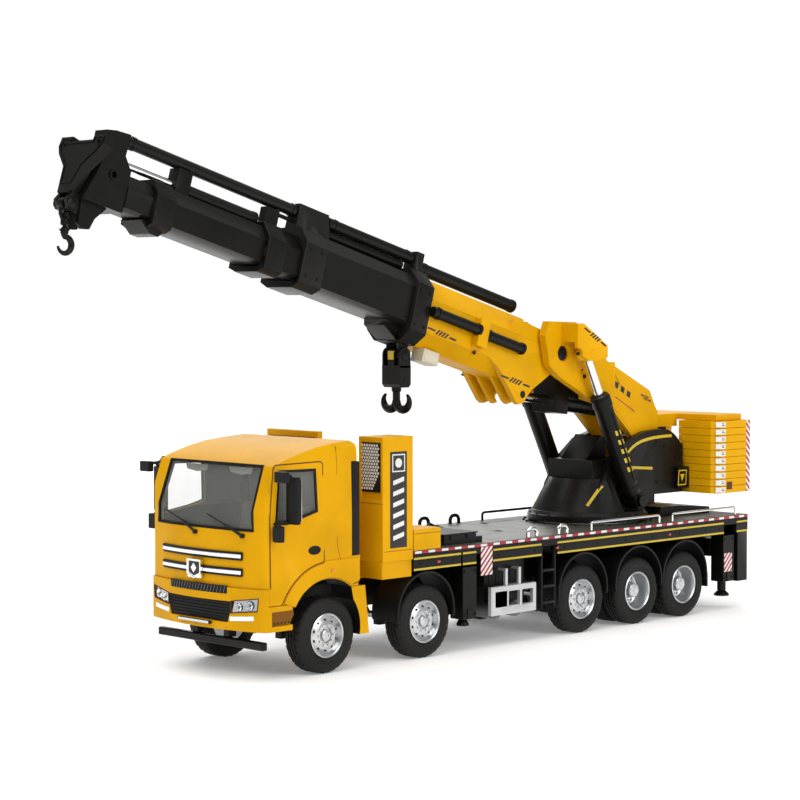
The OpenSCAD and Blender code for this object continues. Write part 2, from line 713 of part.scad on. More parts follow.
module lift_barrels() color([0.08, 0.08, 0.08]) place() {
    for (s = [-1, 1]) along(s * lift_x, lift_foot, lift_head) difference() {
        union() {
            translate([0, 0, 3]) cylinder(r = lift_barrel_r, h = lift_gland - 3);
            rotate([0, 90, 0]) cylinder(r = 2.6, h = 5.6, center = true);
            translate([-2.4, -2.1, 0]) cube([4.8, 4.2, 3.4]);
        }
        rotate([0, 90, 0]) cylinder(r = 1.6 + running_gap, h = 12, center = true);
        translate([0, 0, 6]) cylinder(r = lift_rod_r + running_gap, h = 60);
    }
}

module lift_rods() color([0.82, 0.83, 0.85]) place() {
    for (s = [-1, 1]) along(s * lift_x, lift_foot, lift_head) difference() {
        union() {
            translate([0, 0, 8]) cylinder(r = lift_rod_r, h = lift_length - 10);
            translate([0, 0, lift_length]) rotate([0, 90, 0]) cylinder(r = 2.6, h = 3.4, center = true);
        }
        // the open pivot: the eye is bored large, see the report
        translate([0, 0, lift_length]) rotate([0, 90, 0])
            cylinder(r = 1.2 + lift_eye_gap, h = 12, center = true);
    }
}

// ---- elbow cylinder between the arm and the outer boom ----

elbow_lug = [11.5, -16.5];
elbow_head = [
    knuckle[0] - elbow_lug[0] * cos(boom_angle) + elbow_lug[1] * sin(boom_angle),
    knuckle[1] + elbow_lug[0] * sin(boom_angle) + elbow_lug[1] * cos(boom_angle)
];
elbow_length = span(elbow_foot, elbow_head);
elbow_gland = 26;
elbow_eye_gap = 0.45;

module elbow_barrel() color([0.08, 0.08, 0.08]) place() {
    along(0, elbow_foot, elbow_head) difference() {
        union() {
            translate([0, 0, 2.6]) cylinder(r = 3, h = elbow_gland - 2.6);
            rotate([0, 90, 0]) cylinder(r = 2.6, h = 9, center = true);
            // deep gland block that fills the elbow
            translate([-4.6, -4, elbow_gland]) cube([9.2, 12, 7]);
            translate([-4.6, 1, elbow_gland - 8]) cube([9.2, 6, 8]);
        }
        rotate([0, 90, 0]) cylinder(r = 1.4 + running_gap, h = 20, center = true);
        translate([0, 0, 5]) cylinder(r = 1.6 + running_gap, h = 60);
    }
}

module elbow_rod() color([0.82, 0.83, 0.85]) place() {
    along(0, elbow_foot, elbow_head) difference() {
        union() {
            translate([0, 0, 8.6]) cylinder(r = 1.6, h = elbow_length - 10.6);
            translate([0, 0, elbow_length]) rotate([0, 90, 0]) cylinder(r = 2.6, h = 4, center = true);
        }
        translate([0, 0, elbow_length]) rotate([0, 90, 0])
            cylinder(r = 1.2 + elbow_eye_gap, h = 12, center = true);
    }
}

// ---- outer boom ----

base_out = boom_outline(8.6, [-9, 1.2], [3.2, 8], [4.5, -13.2]);
sleeve_out = boom_outline(8, [-7.6, 3.4], [4.4, 7.4], [5.5, -8.5]);
section_2_w = boom_outline(7.2, [-6.9, 0.4], [3.4, 5], [4.6, -7.8]);
section_2_in = boom_outline(7.2, [-6.9, 0.4], [3.4, 5], [4.6, -7.8], slide_gap);
section_3_w = boom_outline(6.4, [-6.4, 0], [3.1, 4.2], [4.2, -7.2]);
section_3_in = boom_outline(6.4, [-6.4, 0], [3.1, 4.2], [4.2, -7.2], slide_gap);
section_4_w = boom_outline(5.6, [-5.9, -0.4], [2.8, 3.4], [3.7, -6.6]);
section_4_in = boom_outline(5.6, [-5.9, -0.4], [2.8, 3.4], [3.7, -6.6], slide_gap);

// Where the twin-hook block's pin sits, in the boom's frame
twin_at = [-61, -16.6];

ear = concat(
    [[-30, -9], [-24, -11.6], [-14.2, -19.3], [-12.4, -20], [-10.4, -18.9], [-8, -14.4]],
    arc([0, 0], 5, -60, 100, 8),
    [[-10, 5.6], [-20, 6]]);

module boom_base() color([0.95, 0.7, 0.05]) place() {
    in_boom() difference() {
        union() {
            boom_bar(base_out, [9, 59.5]);
            // cheeks with the knuckle ears and the three lower lugs
            both_sides() side_plate(ear, [6.6, 8.6]);
            both_sides() side_plate([[-27, -10], [-24, -11.6], [-14.2, -19.3], [-12.4, -20],
                [-10.4, -18.9], [-9, -10]],
                [2.2, 3.6]);
            // saddle between the side cylinders
            both_sides() block([8.6, 11.4], [-39, -34.6], [-7.6, 1]);
        }
        boom_bar(section_2_in, [14, 60]);
        x_rod([0, 0], knuckle_pin_r + running_gap, [-12, 12]);
        both_sides() x_rod([-elbow_lug[0], elbow_lug[1]], 1.2, [1, 10]);
        block([-5, 5], [-12, -8], [-10.3, 10]);
        both_sides() x_rod([-36.8, -9.4], 0.7, [7.6, 12]);
    }
}

module boom_sleeve() color([0.1, 0.1, 0.1]) place() {
    in_boom() difference() {
        union() {
            boom_bar(boom_outline(9.5, [-10, 4.6], [4.6, 9.2], [5.4, -13.6]), [59.6, 66.4]);
            boom_bar(sleeve_out, [66.4, 104]);
            boom_bar(boom_outline(8.5, [-8.4, 3.6], [4.6, 8], [5.4, -10]), [104, 112.6]);
            side_plate([[-66, -13.5], [-66, -8.4], [-73, -8.4], [-72.6, -10.4]], [-4.4, 4.4]);
            // tube brackets on the crown
            block([-2.6, 2.6], [-63, -59.8], [9, 15.4]);
            // hanger for the twin-hook block
            both_sides() side_plate([[-63.4, -13.5], [-59.8, -13.5], [twin_at[0] + 1.4, twin_at[1] - 1.2],
                [twin_at[0] - 1.4, twin_at[1] - 1.2]], [1.7, 2.9]);
            side_plate([[-112.6, 8], [-99, 8], [-101, 15.2], [-112.6, 15.2]], [-2.4, 2.4]);
        }
        boom_bar(section_2_in, [50, 120]);
        both_sides() x_rod(twin_at, 0.8, [1, 4]);
        y_rod(0, 10, 0.65, [-113, -98]);
    }
    // elbow pin and twin-hook pin ride with the boom's fixed part
    in_boom() x_rod([-elbow_lug[0], elbow_lug[1]], 1.2, [-8.6, 8.6]);
    in_boom() x_rod(twin_at, 0.8, [-3.8, 3.8]);
}

// Fixed hydraulic tubes: side cylinders, two long crown tubes and the anchored thin rod
module boom_tubes() color([0.12, 0.12, 0.12]) place() {
    in_boom() {
        both_sides() {
            y_rod(10.3, -2.6, 1.7, [-59.6, -39]);
            y_rod(10.3, -3.2, 1.7, [-34.6, -17.6]);
        }
        y_rod(0, 11.4, 2, [-59.8, -14.6]);
        y_rod(0, 13.3, 1.9, [-99.4, -63]);
        difference() {
            y_rod(0, 10, 1.35, [-98.4, -66.6]);
            y_rod(0, 10, 0.65, [-99, -68]);
        }
        y_rod(0, 12.9, 0.9, [-168, -112.6]);
        // boom-length sensor under the keel
        block([1.5, 6.5], [-56, -49.5], [-17, -13.2]);
    }
}

module boom_section_2() color([0.1, 0.1, 0.1]) place() {
    in_boom() difference() {
        union() {
            boom_bar(section_2_w, [20, 119]);
            boom_bar(boom_outline(7.8, [-7.9, 1], [3.7, 5.8], [4.8, -9.2]), [119, 126]);
            block([-1.4, 1.4], [-124, -119], [5.4, 10.8]);
        }
        boom_bar(section_3_in, [24, 130]);
    }
    in_boom() y_rod(0, 10, 0.6, [-119, -72]);
}

module boom_section_3() color([0.1, 0.1, 0.1]) place() {
    in_boom() difference() {
        union() {
            boom_bar(section_3_w, [28, 160.1]);
            boom_bar(boom_outline(7, [-7.4, 0.6], [3.4, 5], [4.4, -8.6]), [160.1, 166.9]);
            side_plate([[-160.5, -8], [-162, -9.9], [-165, -9.9], [-169, -7.2], [-169, -6.9],
                [-160.5, -6.9]],
                [-4.4, 4.4]);
            // barrel that pushes the last section, in its gland block
            y_rod(0, 6.2, 1.9, [-153, -127.4]);
            block([-2.2, 2.2], [-158, -153], [3.8, 11.2]);
            // long crown tube
            y_rod(0, 12.9, 1.8, [-176, -113.4]);
        }
        boom_bar(section_4_in, [40, 170]);
        y_rod(0, 12.9, 0.95, [-172, -110]);
        y_rod(0, 6.6, 1.1 + running_gap, [-160, -129]);
    }
}

head_plate = [
    [-2.05, 0], [2.05, 0], [2.8, 2.9], [4.1, 8], [8.4, 12], [9.8, 14.3], [9.8, 17], [4.6, 17],
    [4.6, 15.6], [-4.6, 15.6], [-4.6, 17], [-9.8, 17], [-9.8, 14.3], [-8.4, 12], [-4.1, 8], [-2.8, 2.9]
];

module boom_section_4() color([0.08, 0.08, 0.08]) place() {
    in_boom() {
        difference() {
            union() {
                boom_bar(section_4_w, [46, 176]);
                // head box, crown bracket and the broad front plate
                side_plate([[-176, -7.6], [-176, 4], [-180, 9], [-184.6, 9], [-187, 0],
                    [-189.6, -7.6]], [-5.2, 5.2]);
                side_plate([[-177, 7], [-176.6, 14.4], [-181.6, 14], [-184.8, 13.2], [-184.6, 8]],
                    [-2.6, 2.6]);
                translate([0, -189.5, -7.4]) rotate([79.5, 0, 0]) linear_extrude(3.4) polygon(head_plate);
                // lower lugs
                both_sides() side_plate([[-180, -7.6], [-183, -11.2], [-184, -14.4], [-186.4, -15],
                    [-188, -13.6], [-188.6, -7.6]],
                    [2, 3.4]);
                both_sides() side_plate([[-186.4, -7], [-191.4, -6], [-192.9, -8.6], [-191.8, -11],
                    [-188.4, -11.4]], [1.6, 2.9]);
            }
            boom_bar(boom_outline(4.6, [-5.2, -1], [2.2, 2.4], [3, -6]), [40, 168]);
            x_rod(hook_at, 0.8, [-8, 8]);
            x_rod(hook_at, 2.3, [-1.6, 1.6]);
            block([-1.6, 1.6], [-190, -182], [-16, -8.4]);
            both_sides() x_rod([-181.5, 1.5], 1, [4.4, 6]);
            y_rod(0, 6.6, 1.1, [-180, -170]);
        }
        y_rod(0, 6.6, 1.1, [-180, -130]);
        // hook pin
        x_rod(hook_at, 0.8, [-2.9, 2.9]);
    }
}

// ---- hooks ----

function from_boom(p) = [
    knuckle[0] + p[0] * cos(boom_angle) + p[1] * sin(boom_angle),
    knuckle[1] - p[0] * sin(boom_angle) + p[1] * cos(boom_angle)
];

hook_pivot = from_boom(hook_at);
twin_pivot = from_boom(twin_at);

// Link that hangs on the head pin and holds the hook's swivel
module hook_link() color([0.08, 0.08, 0.08]) place() {
    translate([0, hook_pivot[0], hook_pivot[1]]) difference() {
        union() {
            rotate([0, 90, 0]) cylinder(r = 1.8, h = 2.4, center = true);
            translate([-1.2, -1, -5.6]) cube([2.4, 2, 4.6]);
        }
        rotate([0, 90, 0]) cylinder(r = 0.8 + running_gap, h = 10, center = true);
        translate([0, 0, -6]) cylinder(r = 0.5 + running_gap, h = 3.6);
    }
}

module hook() color([0.08, 0.08, 0.08]) place() {
    translate([0, hook_pivot[0], hook_pivot[1]]) {
        translate([0, 0, -7.4]) cylinder(r = 0.5, h = 4.7);
        translate([0, 0, -8.8]) cylinder(r1 = 0.8, r2 = 1.3, h = 2.8);
        // open ring below the shank
        translate([0, 0, -10.9]) rotate([0, 90, 0]) rotate_extrude(angle = 285, start = -100)
            translate([2.2, 0]) circle(r = 0.75);
    }
}

// Sheave block with its two-pronged hook
module twin_hook_block() color([0.08, 0.08, 0.08]) place() {
    translate([0, twin_pivot[0], twin_pivot[1]]) difference() {
        union() {
            rotate([0, 90, 0]) cylinder(r = 2.4, h = 2.8, center = true);
            block([-1.4, 1.4], [-2.3, 2.3], [-4, 0]);
            both_sides() x_rod([0, 0], 2.4, [3.1, 3.8]);
            both_sides() block([3.1, 3.8], [-2.3, 2.3], [-4, 0]);
            block([-3.8, 3.8], [-2.5, 2.5], [-10, -3.2]);
            translate([0, 0, -14.8]) cylinder(r = 1.3, h = 5.5);
            // the two prongs, each kept to its own side of the shank
            both_sides() intersection() {
                translate([2.4, 0, -14]) rotate([90, 0, 0]) rotate_extrude(angle = 225, start = 180)
                    translate([2.4, 0]) circle(r = 1.1);
                block([0, 8], [-3, 3], [-20, -8]);
            }
        }
        rotate([0, 90, 0]) cylinder(r = 0.8 + running_gap, h = 10, center = true);
    }
}

frame_rails();
deck();
side_skirts();
cab_shell();
cab_glass();
cab_interior();
front_bumper();
grille_trims();
front_grilles();
head_lamps();
mirrors();
wipers();
air_intake();
underrun_bar();
equipment_boxes();
pump_unit();
deck_rails();
ladders();
tank_guards();
tanks();
fenders();
outrigger_housings();
slew_ring();
tyres(0);  // tyres_1
tyres(1);  // tyres_2
tyres(2);  // tyres_3
tyres(3);  // tyres_4
tyres(4);  // tyres_5
wheels(0);  // wheels_1
wheels(1);  // wheels_2
wheels(2);  // wheels_3
wheels(3);  // wheels_4
wheels(4);  // wheels_5
outrigger_beam(1, 0);  // beam_front_left
outrigger_beam(-1, 0);  // beam_front_right
outrigger_beam(1, 1);  // beam_rear_left
outrigger_beam(-1, 1);  // beam_rear_right
outrigger_jack(1, 0);  // jack_front_left
outrigger_jack(-1, 0);  // jack_front_right
outrigger_jack(1, 1);  // jack_rear_left
outrigger_jack(-1, 1);  // jack_rear_right
turntable();
column();
crane_pins();
counterweight();
inner_arm();
arm_pins();
lift_barrels();
lift_rods();
elbow_barrel();
elbow_rod();
boom_base();
boom_sleeve();
boom_tubes();
boom_section_2();
boom_section_3();
boom_section_4();
hook_link();
hook();
twin_hook_block();
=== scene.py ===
"""Looks for the toy crane truck: bevelled, painted castings over the CAD frame, with its finer detail.

Lengths are in millimetres until MM turns them into metres. Places along the truck are counted
from the same datum as the design, which lies 116.5 mm behind the first axle.
"""
import json
import math

import bmesh
import bpy
from mathutils import Matrix, Vector


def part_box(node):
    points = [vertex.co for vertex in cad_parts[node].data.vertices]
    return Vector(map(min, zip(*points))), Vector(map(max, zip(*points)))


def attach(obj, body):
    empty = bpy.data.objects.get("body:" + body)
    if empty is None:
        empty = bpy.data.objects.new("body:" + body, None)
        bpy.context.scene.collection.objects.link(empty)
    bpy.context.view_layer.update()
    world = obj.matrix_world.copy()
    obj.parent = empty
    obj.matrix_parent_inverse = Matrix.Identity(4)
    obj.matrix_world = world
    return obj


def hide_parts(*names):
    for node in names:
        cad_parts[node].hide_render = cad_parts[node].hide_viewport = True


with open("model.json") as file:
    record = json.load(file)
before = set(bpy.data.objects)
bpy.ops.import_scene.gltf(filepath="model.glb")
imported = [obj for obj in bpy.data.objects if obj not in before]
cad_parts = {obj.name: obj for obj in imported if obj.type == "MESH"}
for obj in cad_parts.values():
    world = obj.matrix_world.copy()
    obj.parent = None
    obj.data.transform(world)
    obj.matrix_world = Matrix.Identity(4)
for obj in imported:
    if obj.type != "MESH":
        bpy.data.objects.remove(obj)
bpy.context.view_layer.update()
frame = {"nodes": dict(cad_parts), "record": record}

MM = 0.001
AXLE_Y = (-116.5, -77.35, -6.7, 21, 45.2)
AXLE_Z = 10.8
KNUCKLE = (-2, 88)
BOOM_ANGLE = 15.6
TYRE_R = 10.8
TYRE_W = 7
TYRE_OUT = 24.4
RIM_R = 6.3
ARCH = (-116.9, 12.5)
DECK_Z = 32
SLEW_Y = 24.3
TAIL_Y = 79.4
BOX_FRONT_Y = -95.5
BOX_BACK_Y = -83.2
SIDES = {"left": 1, "right": -1}

wheel_low, wheel_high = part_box("wheels_1")
SHIFT = (wheel_low.y + wheel_high.y) / 2 / MM - AXLE_Y[0]
TRUCK = Matrix.Scale(MM, 4) @ Matrix.Translation((0, SHIFT, 0))
BOOM = (TRUCK @ Matrix.Translation((0, KNUCKLE[0], KNUCKLE[1]))
        @ Matrix.Rotation(math.radians(-BOOM_ANGLE), 4, "X"))


# ---------------------------------------------------------------- materials

LOOK_SLOT = {}


def add_node(tree, kind, **values):
    """A new shader node with some sockets set; spaces in a socket's name are written as underscores."""
    node = tree.nodes.new("ShaderNode" + kind)
    for socket, value in values.items():
        node.inputs[socket.replace("_", " ")].default_value = value
    return node


def mix_colors(tree, factor, first, second):
    """Mixes a linked colour with a fixed one."""
    mix = tree.nodes.new("ShaderNodeMix")
    mix.data_type = "RGBA"
    mix.inputs["B"].default_value = (*second, 1)
    tree.links.new(factor, mix.inputs["Factor"])
    tree.links.new(first, mix.inputs["A"])
    return mix.outputs["Result"]


def material(name, slot, color, rough, grain, bump, vary=0.06, metal=0.0, coat=0.0, edge_highlight=0.0,
             rough_vary=0.08, specular=0.5):
    """A painted or moulded surface: broad tone changes, fine grain, and gloss that varies with it."""
    m = bpy.data.materials.new(name)
    LOOK_SLOT[m.name] = slot
    m.use_nodes = True
    tree, link = m.node_tree, m.node_tree.links.new
    shader = tree.nodes["Principled BSDF"]
    for socket, value in (("Metallic", metal), ("Coat Weight", coat), ("Coat Roughness", 0.12),
                          ("Specular IOR Level", specular)):
        shader.inputs[socket].default_value = value
    place = add_node(tree, "TexCoord")
    broad = add_node(tree, "TexNoise", Scale=55, Detail=4)
    fine = add_node(tree, "TexNoise", Scale=grain, Detail=3)
    for noise in (broad, fine):
        link(place.outputs["Object"], noise.inputs["Vector"])
    ramp = add_node(tree, "ValToRGB")
    tones = ramp.color_ramp.elements
    tones[0].position = 0.3
    tones[0].color = (*[c * (1 - vary * 2.2) for c in color], 1)
    tones[1].position = 0.7
    tones[1].color = (*[min(1, c * (1 + vary)) for c in color], 1)
    tones.new(0.5).color = (*color, 1)
    link(broad.outputs["Fac"], ramp.inputs["Fac"])
    color_out = ramp.outputs["Color"]
    if edge_highlight:
        # painted highlight: colour made lighter on the edges, found from the geometry's own convexity
        shape = add_node(tree, "NewGeometry")
        edge = add_node(tree, "MapRange", From_Min=0.56, From_Max=0.66, To_Max=edge_highlight)
        link(shape.outputs["Pointiness"], edge.inputs["Value"])
        highlight_color = [min(1, c * 1.5 + 0.03) for c in color]
        color_out = mix_colors(tree, edge.outputs["Result"], color_out, highlight_color)
    link(color_out, shader.inputs["Base Color"])
    gloss = add_node(tree, "MapRange", To_Min=max(0.02, rough - rough_vary),
                     To_Max=min(1, rough + rough_vary))
    link(fine.outputs["Fac"], gloss.inputs["Value"])
    link(gloss.outputs["Result"], shader.inputs["Roughness"])
    relief = add_node(tree, "Bump", Strength=bump * 10, Distance=0.00004)
    link(fine.outputs["Fac"], relief.inputs["Height"])
    link(relief.outputs["Normal"], shader.inputs["Normal"])
    return m


def striped(name, slot, colors, width, angle):
    """Reflective tape with slanted stripes of the two colours, each width mm across, in the (y, z) plane."""
    m = material(name, slot, colors[0], 0.4, 2500, 0.01)
    tree, link = m.node_tree, m.node_tree.links.new
    split = add_node(tree, "SeparateXYZ")
    link(add_node(tree, "TexCoord").outputs["Object"], split.inputs["Vector"])

    def maths(operation, first, number=0.0, second=None):
        node = add_node(tree, "Math")
        node.operation = operation
        node.inputs[1].default_value = number
        link(first, node.inputs[0])
        if second:
            link(second, node.inputs[1])
        return node.outputs[0]
    slant = math.radians(angle)
    along = maths("MULTIPLY", split.outputs["Y"], math.cos(slant) / (width * MM))
    up = maths("MULTIPLY", split.outputs["Z"], math.sin(slant) / (width * MM))
    phase = maths("PINGPONG", maths("ADD", along, second=up), 1)
    base = tree.nodes["Principled BSDF"].inputs["Base Color"]
    link(mix_colors(tree, maths("GREATER_THAN", phase, 0.5), base.links[0].from_socket, colors[1]), base)
    return m


AMBER = (0.69, 0.345, 0.001)
RED = (0.36, 0.010, 0.022)
WHITE = (0.72, 0.72, 0.70)
GLASS_ALPHA = 0.13
yellow = material("amber_paint", "yellow_paint", AMBER, 0.42, 700, 0.01, edge_highlight=0.2, specular=0.07)
black = material("black_paint", "black_paint", (0.0050, 0.0047, 0.0042), 0.32, 800, 0.014, 0.12, edge_highlight=0.2,
                 specular=0.17)
plastic = material("black_plastic", "black_plastic", (0.0055, 0.0055, 0.0056), 0.46, 1600, 0.04, 0.12,
                   edge_highlight=0.2, specular=0.2)
deck_grey = material("deck_paint", "deck_paint", (0.07, 0.07, 0.05), 0.4, 2200, 0.12, 0.12)
tyre_rubber = material("tyre_rubber", "tyre", (0.0068, 0.0066, 0.0062), 0.6, 1500, 0.05, 0.14, specular=0.28)
silver = material("silver_rim", "rim", (0.62, 0.63, 0.64), 0.33, 1200, 0.003, 0.03, metal=1, rough_vary=0.05)
chrome = material("chrome", "chrome", (0.85, 0.86, 0.87), 0.1, 1500, 0.006, 0.02, metal=1, rough_vary=0.04)
steel = material("pin_steel", "steel", (0.5, 0.5, 0.52), 0.3, 1800, 0.03, 0.08, metal=1)
guard_silver = material("silver_paint", "rail_white", (0.62, 0.63, 0.64), 0.36, 1500, 0.03, 0.05, metal=0.55)
grey = material("tank_grey", "tank_grey", (0.16, 0.16, 0.165), 0.42, 1200, 0.03, 0.1, metal=0.3)
white = material("white_print", "rail_white", WHITE, 0.42, 2500, 0.02, 0.04)
red = material("red_print", "black_paint", RED, 0.38, 2500, 0.02)
lime = material("yellow_line", "yellow_paint", (0.56, 0.40, 0.012), 0.42, 2500, 0.02, 0.05)
ink_and_hole_shade = material("dark_print_and_hole_shade", "black_plastic", (0.014, 0.012, 0.011), 0.5, 2500, 0.02, 0.1)
seam = material("seam_shadow", "yellow_paint", (0.085, 0.022, 0.001), 0.7, 2500, 0.02, 0.1)
beige = material("beige_plastic", "rail_white", (0.62, 0.57, 0.43), 0.5, 1800, 0.04, 0.05)
orange = material("orange_lens", "lamp", (0.75, 0.16, 0.01), 0.18, 900, 0.01, 0.05, coat=0.5)
lamp = material("lamp_bowl", "lamp", (0.42, 0.44, 0.46), 0.16, 420, 0.12, 0.1, metal=0.8, coat=0.6)
trim_grey = material("cabin_grey", "black_plastic", (0.24, 0.245, 0.22), 0.6, 1400, 0.06, 0.12)
hazard = striped("hazard_stripes", "rail_white", (RED, WHITE), 0.7, -45)
tail_stripes = striped("tail_stripes", "rail_white", (RED, WHITE), 0.8, 45)
tail_red = material("tail_lens", "lamp", (0.5, 0.01, 0.008), 0.16, 900, 0.02, 0.08, coat=0.5)
recess = material("shaded_amber", "yellow_paint", (0.2, 0.075, 0.001), 0.55, 900, 0.02, 0.12, specular=0.2)
clear_glass = material("window_glass", "glass", (0.5, 0.51, 0.48), 0.05, 150, 0.002, rough_vary=0.015)
clear_glass.node_tree.nodes["Principled BSDF"].inputs["Alpha"].default_value = GLASS_ALPHA


# ---------------------------------------------------------------- mesh building

def turn(count, phase=0.0):
    """The angles of count even steps round a circle."""
    return [2 * math.pi * (k + phase) / count for k in range(count)]


def arc(centre, r, a0, a1, n=12):
    """Points (a, b) along an arc, angles in degrees."""
    angles = [math.radians(a0 + (a1 - a0) * i / n) for i in range(n + 1)]
    return [(centre[0] + r * math.cos(a), centre[1] + r * math.sin(a)) for a in angles]


def between(outline, n):
    """The closed outline's points with n steps on each side."""
    return [(x0 + (x1 - x0) * k / n, z0 + (z1 - z0) * k / n)
            for (x0, z0), (x1, z1) in zip(outline, outline[1:] + outline[:1]) for k in range(n)]


def disc(r, h):
    return [(0, 0), (r, 0), (r, h), (0, h)]


def collar(r, wall, h):
    return [(r - wall, 0), (r, 0), (r, h), (r - wall, h)]


def bolt(r, rim, flat, top):
    """The profile of a bolt head: rim high at its edge, top high at the flat in its middle."""
    return [(0, 0), (r, 0), (r, rim), (flat, top), (0, top)]


class Shape:
    """Collects the pieces of one mesh, in the millimetres of the truck or of the boom.

    Pieces of the right-hand side are given as on the left, and are mirrored.
    """

    def __init__(self, to_row=TRUCK, hand="left"):
        self.mesh = bmesh.new()
        self.to_row = to_row
        self.side = SIDES[hand]

    def vert(self, x, y, z):
        return self.mesh.verts.new(self.to_row @ Vector((self.side * x, y, z)))

    def faces(self, points, faces):
        verts = [self.vert(*p) for p in points]
        for face in faces:
            self.mesh.faces.new([verts[i] for i in face])

    def skin(self, rings, loop=False, wrap=True):
        """Faces between rings of vertices. loop joins the last to the first, and wrap closes each ring."""
        count = len(rings[0])
        for a, b in zip(rings, rings[1:] + rings[:1] if loop else rings[1:]):
            for k in range(count if wrap else count - 1):
                m = (k + 1) % count
                self.mesh.faces.new((a[k], a[m], b[m], b[k]))
        if not loop:
            self.mesh.faces.new(rings[0][::-1])
            self.mesh.faces.new(rings[-1])

    def box(self, x, y, z):
        self.prism([(x[0], y[0]), (x[1], y[0]), (x[1], y[1]), (x[0], y[1])], "z", z)

    def prism(self, outline, along, span):
        """An outline given in the two other axes, in x, y, z order, and its span along one axis."""
        order = {"x": lambda a, b, h: (h, a, b), "y": lambda a, b, h: (a, h, b),
                 "z": lambda a, b, h: (a, b, h)}
        n = len(outline)
        points = [order[along](a, b, h) for h in span for a, b in outline]
        walls = [(i, (i + 1) % n, n + (i + 1) % n, n + i) for i in range(n)]
        self.faces(points, [tuple(range(n))[::-1], tuple(range(n, 2 * n)), *walls])

    def lathe(self, profile, centre, axis="x", steps=64, way=1):
        """Turns (radius, distance along the axis) points round a line through centre."""
        rings = []
        for a in turn(steps):
            ring = []
            for r, d in profile:
                u, v = r * math.cos(a), r * math.sin(a)
                offset = {"x": (d * way, u, v), "y": (u, d * way, v), "z": (u, v, d * way)}[axis]
                ring.append(self.vert(*(Vector(centre) + Vector(offset))))
            rings.append(ring)
        self.skin(rings, loop=True, wrap=False)

    def tube(self, path, radius, steps=12, taper=None):
        """A round rod along a path of points; taper gives a radius at each point."""
        points = [Vector((self.side * x, y, z)) for x, y, z in path]
        rings = []
        up = Vector((0.31, 0.17, 0.93))
        for i, p in enumerate(points):
            tangent = (points[min(i + 1, len(points) - 1)] - points[max(i - 1, 0)]).normalized()
            across = tangent.cross(up)
            if across.length < 0.1:
                across = tangent.cross(Vector((1, 0, 0)))
            across.normalize()
            up = across.cross(tangent)
            r = taper[i] if taper else radius
            ring = [p + r * (math.cos(a) * across + math.sin(a) * up) for a in turn(steps)]
            rings.append([self.mesh.verts.new(self.to_row @ q) for q in ring])
        self.skin(rings)

    def band(self, path, width, normal, thick, closed=False):
        """A flat printed line or seal on a surface, whose normal is given once or for each point."""
        points = [Vector(p) for p in path]
        count = len(points)
        normals = normal if isinstance(normal, list) else [normal] * count
        rings = []
        for i, p in enumerate(points):
            before = points[i - 1] if closed or i else p
            after = points[(i + 1) % count] if closed or i < count - 1 else p
            d1, d2 = (p - before), (after - p)
            d1 = d1.normalized() if d1.length else d2.normalized()
            d2 = d2.normalized() if d2.length else d1
            mean = (d1 + d2).normalized()
            n = Vector(normals[i]).normalized()
            half = n.cross(mean).normalized() * (width / 2 / max(0.45, mean.dot(d1)))
            low, high = p - half, p + half
            rings.append([self.vert(*q) for q in (low, high, high + n * thick, low + n * thick)])
        self.skin(rings, loop=closed)

    def done(self, name, look, bevel=0.0, body="chassis", slot=None, smooth=35, replaces=()):
        bmesh.ops.remove_doubles(self.mesh, verts=self.mesh.verts, dist=1e-7)
        bmesh.ops.recalc_face_normals(self.mesh, faces=self.mesh.faces)
        data = bpy.data.meshes.new(name)
        self.mesh.to_mesh(data)
        self.mesh.free()
        return finish_piece(data, name, body, [look], slot or LOOK_SLOT[look.name], bevel, smooth, replaces)


def both(*shapes):
    """Gives left, then right, with the shapes mirrored to suit."""
    for hand, side in SIDES.items():
        for shape in shapes:
            shape.side = side
        yield hand
    for shape in shapes:
        shape.side = 1


def finish_piece(data, name, body, looks, slot, bevel, smooth, replaces):
    piece = bpy.data.objects.new(name, data)
    bpy.context.scene.collection.objects.link(piece)
    for look in looks:
        data.materials.append(look)
    for polygon in data.polygons:
        polygon.use_smooth = True
    data.set_sharp_from_angle(angle=math.radians(smooth))
    if bevel:
        rounding = piece.modifiers.new("rounded_edges", "BEVEL")
        rounding.width = bevel * MM
        rounding.segments = 2
        rounding.limit_method = "ANGLE"
        rounding.angle_limit = math.radians(smooth)
        rounding.harden_normals = True
        rounding.miter_outer = "MITER_ARC"
    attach(piece, body)
    if replaces:
        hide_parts(*replaces)
    return piece


NODE_BODY = {node: body for body, nodes in frame["record"]["behaviour"]["bodies"].items() for node in nodes}
NODE_SLOT = {part["node"]: part["material_slot"] for part in frame["record"]["subparts"]}


def round_long_edges(work, length, width):
    """Rounds the edges longer than length mm where faces turn by more than 20 degrees."""
    edges = [e for e in work.edges if e.calc_length() > length * MM and len(e.link_faces) == 2
             and e.calc_face_angle(0) > math.radians(20)]
    bmesh.ops.bevel(work, geom=edges, offset=width * MM, segments=4, profile=0.5, affect="EDGES",
                    clamp_overlap=True)


def dress(node, look, bevel=0.2, second=None, second_where=None, long_round=None):
    """A rounded, painted copy of a CAD node. second paints the faces that second_where picks."""
    data = frame["nodes"][node].data.copy()
    data.materials.clear()
    work = bmesh.new()
    work.from_mesh(data)
    bmesh.ops.remove_doubles(work, verts=work.verts, dist=2e-7)
    bmesh.ops.dissolve_limit(work, angle_limit=math.radians(0.6), verts=work.verts, edges=work.edges)
    if long_round:
        round_long_edges(work, *long_round)
    work.normal_update()
    for face in work.faces:
        face.material_index = 1 if second and second_where(face) else 0
    work.to_mesh(data)
    work.free()
    looks = [look, second] if second else [look]
    return finish_piece(data, node + "_look", NODE_BODY[node], looks, NODE_SLOT[node], bevel, 35, [node])


def dress_all(look, **bevels):
    """Dresses several nodes in one look, each with its own bevel."""
    for node, bevel in bevels.items():
        dress(node, look, bevel)


# ---------------------------------------------------------------- tyres and wheels

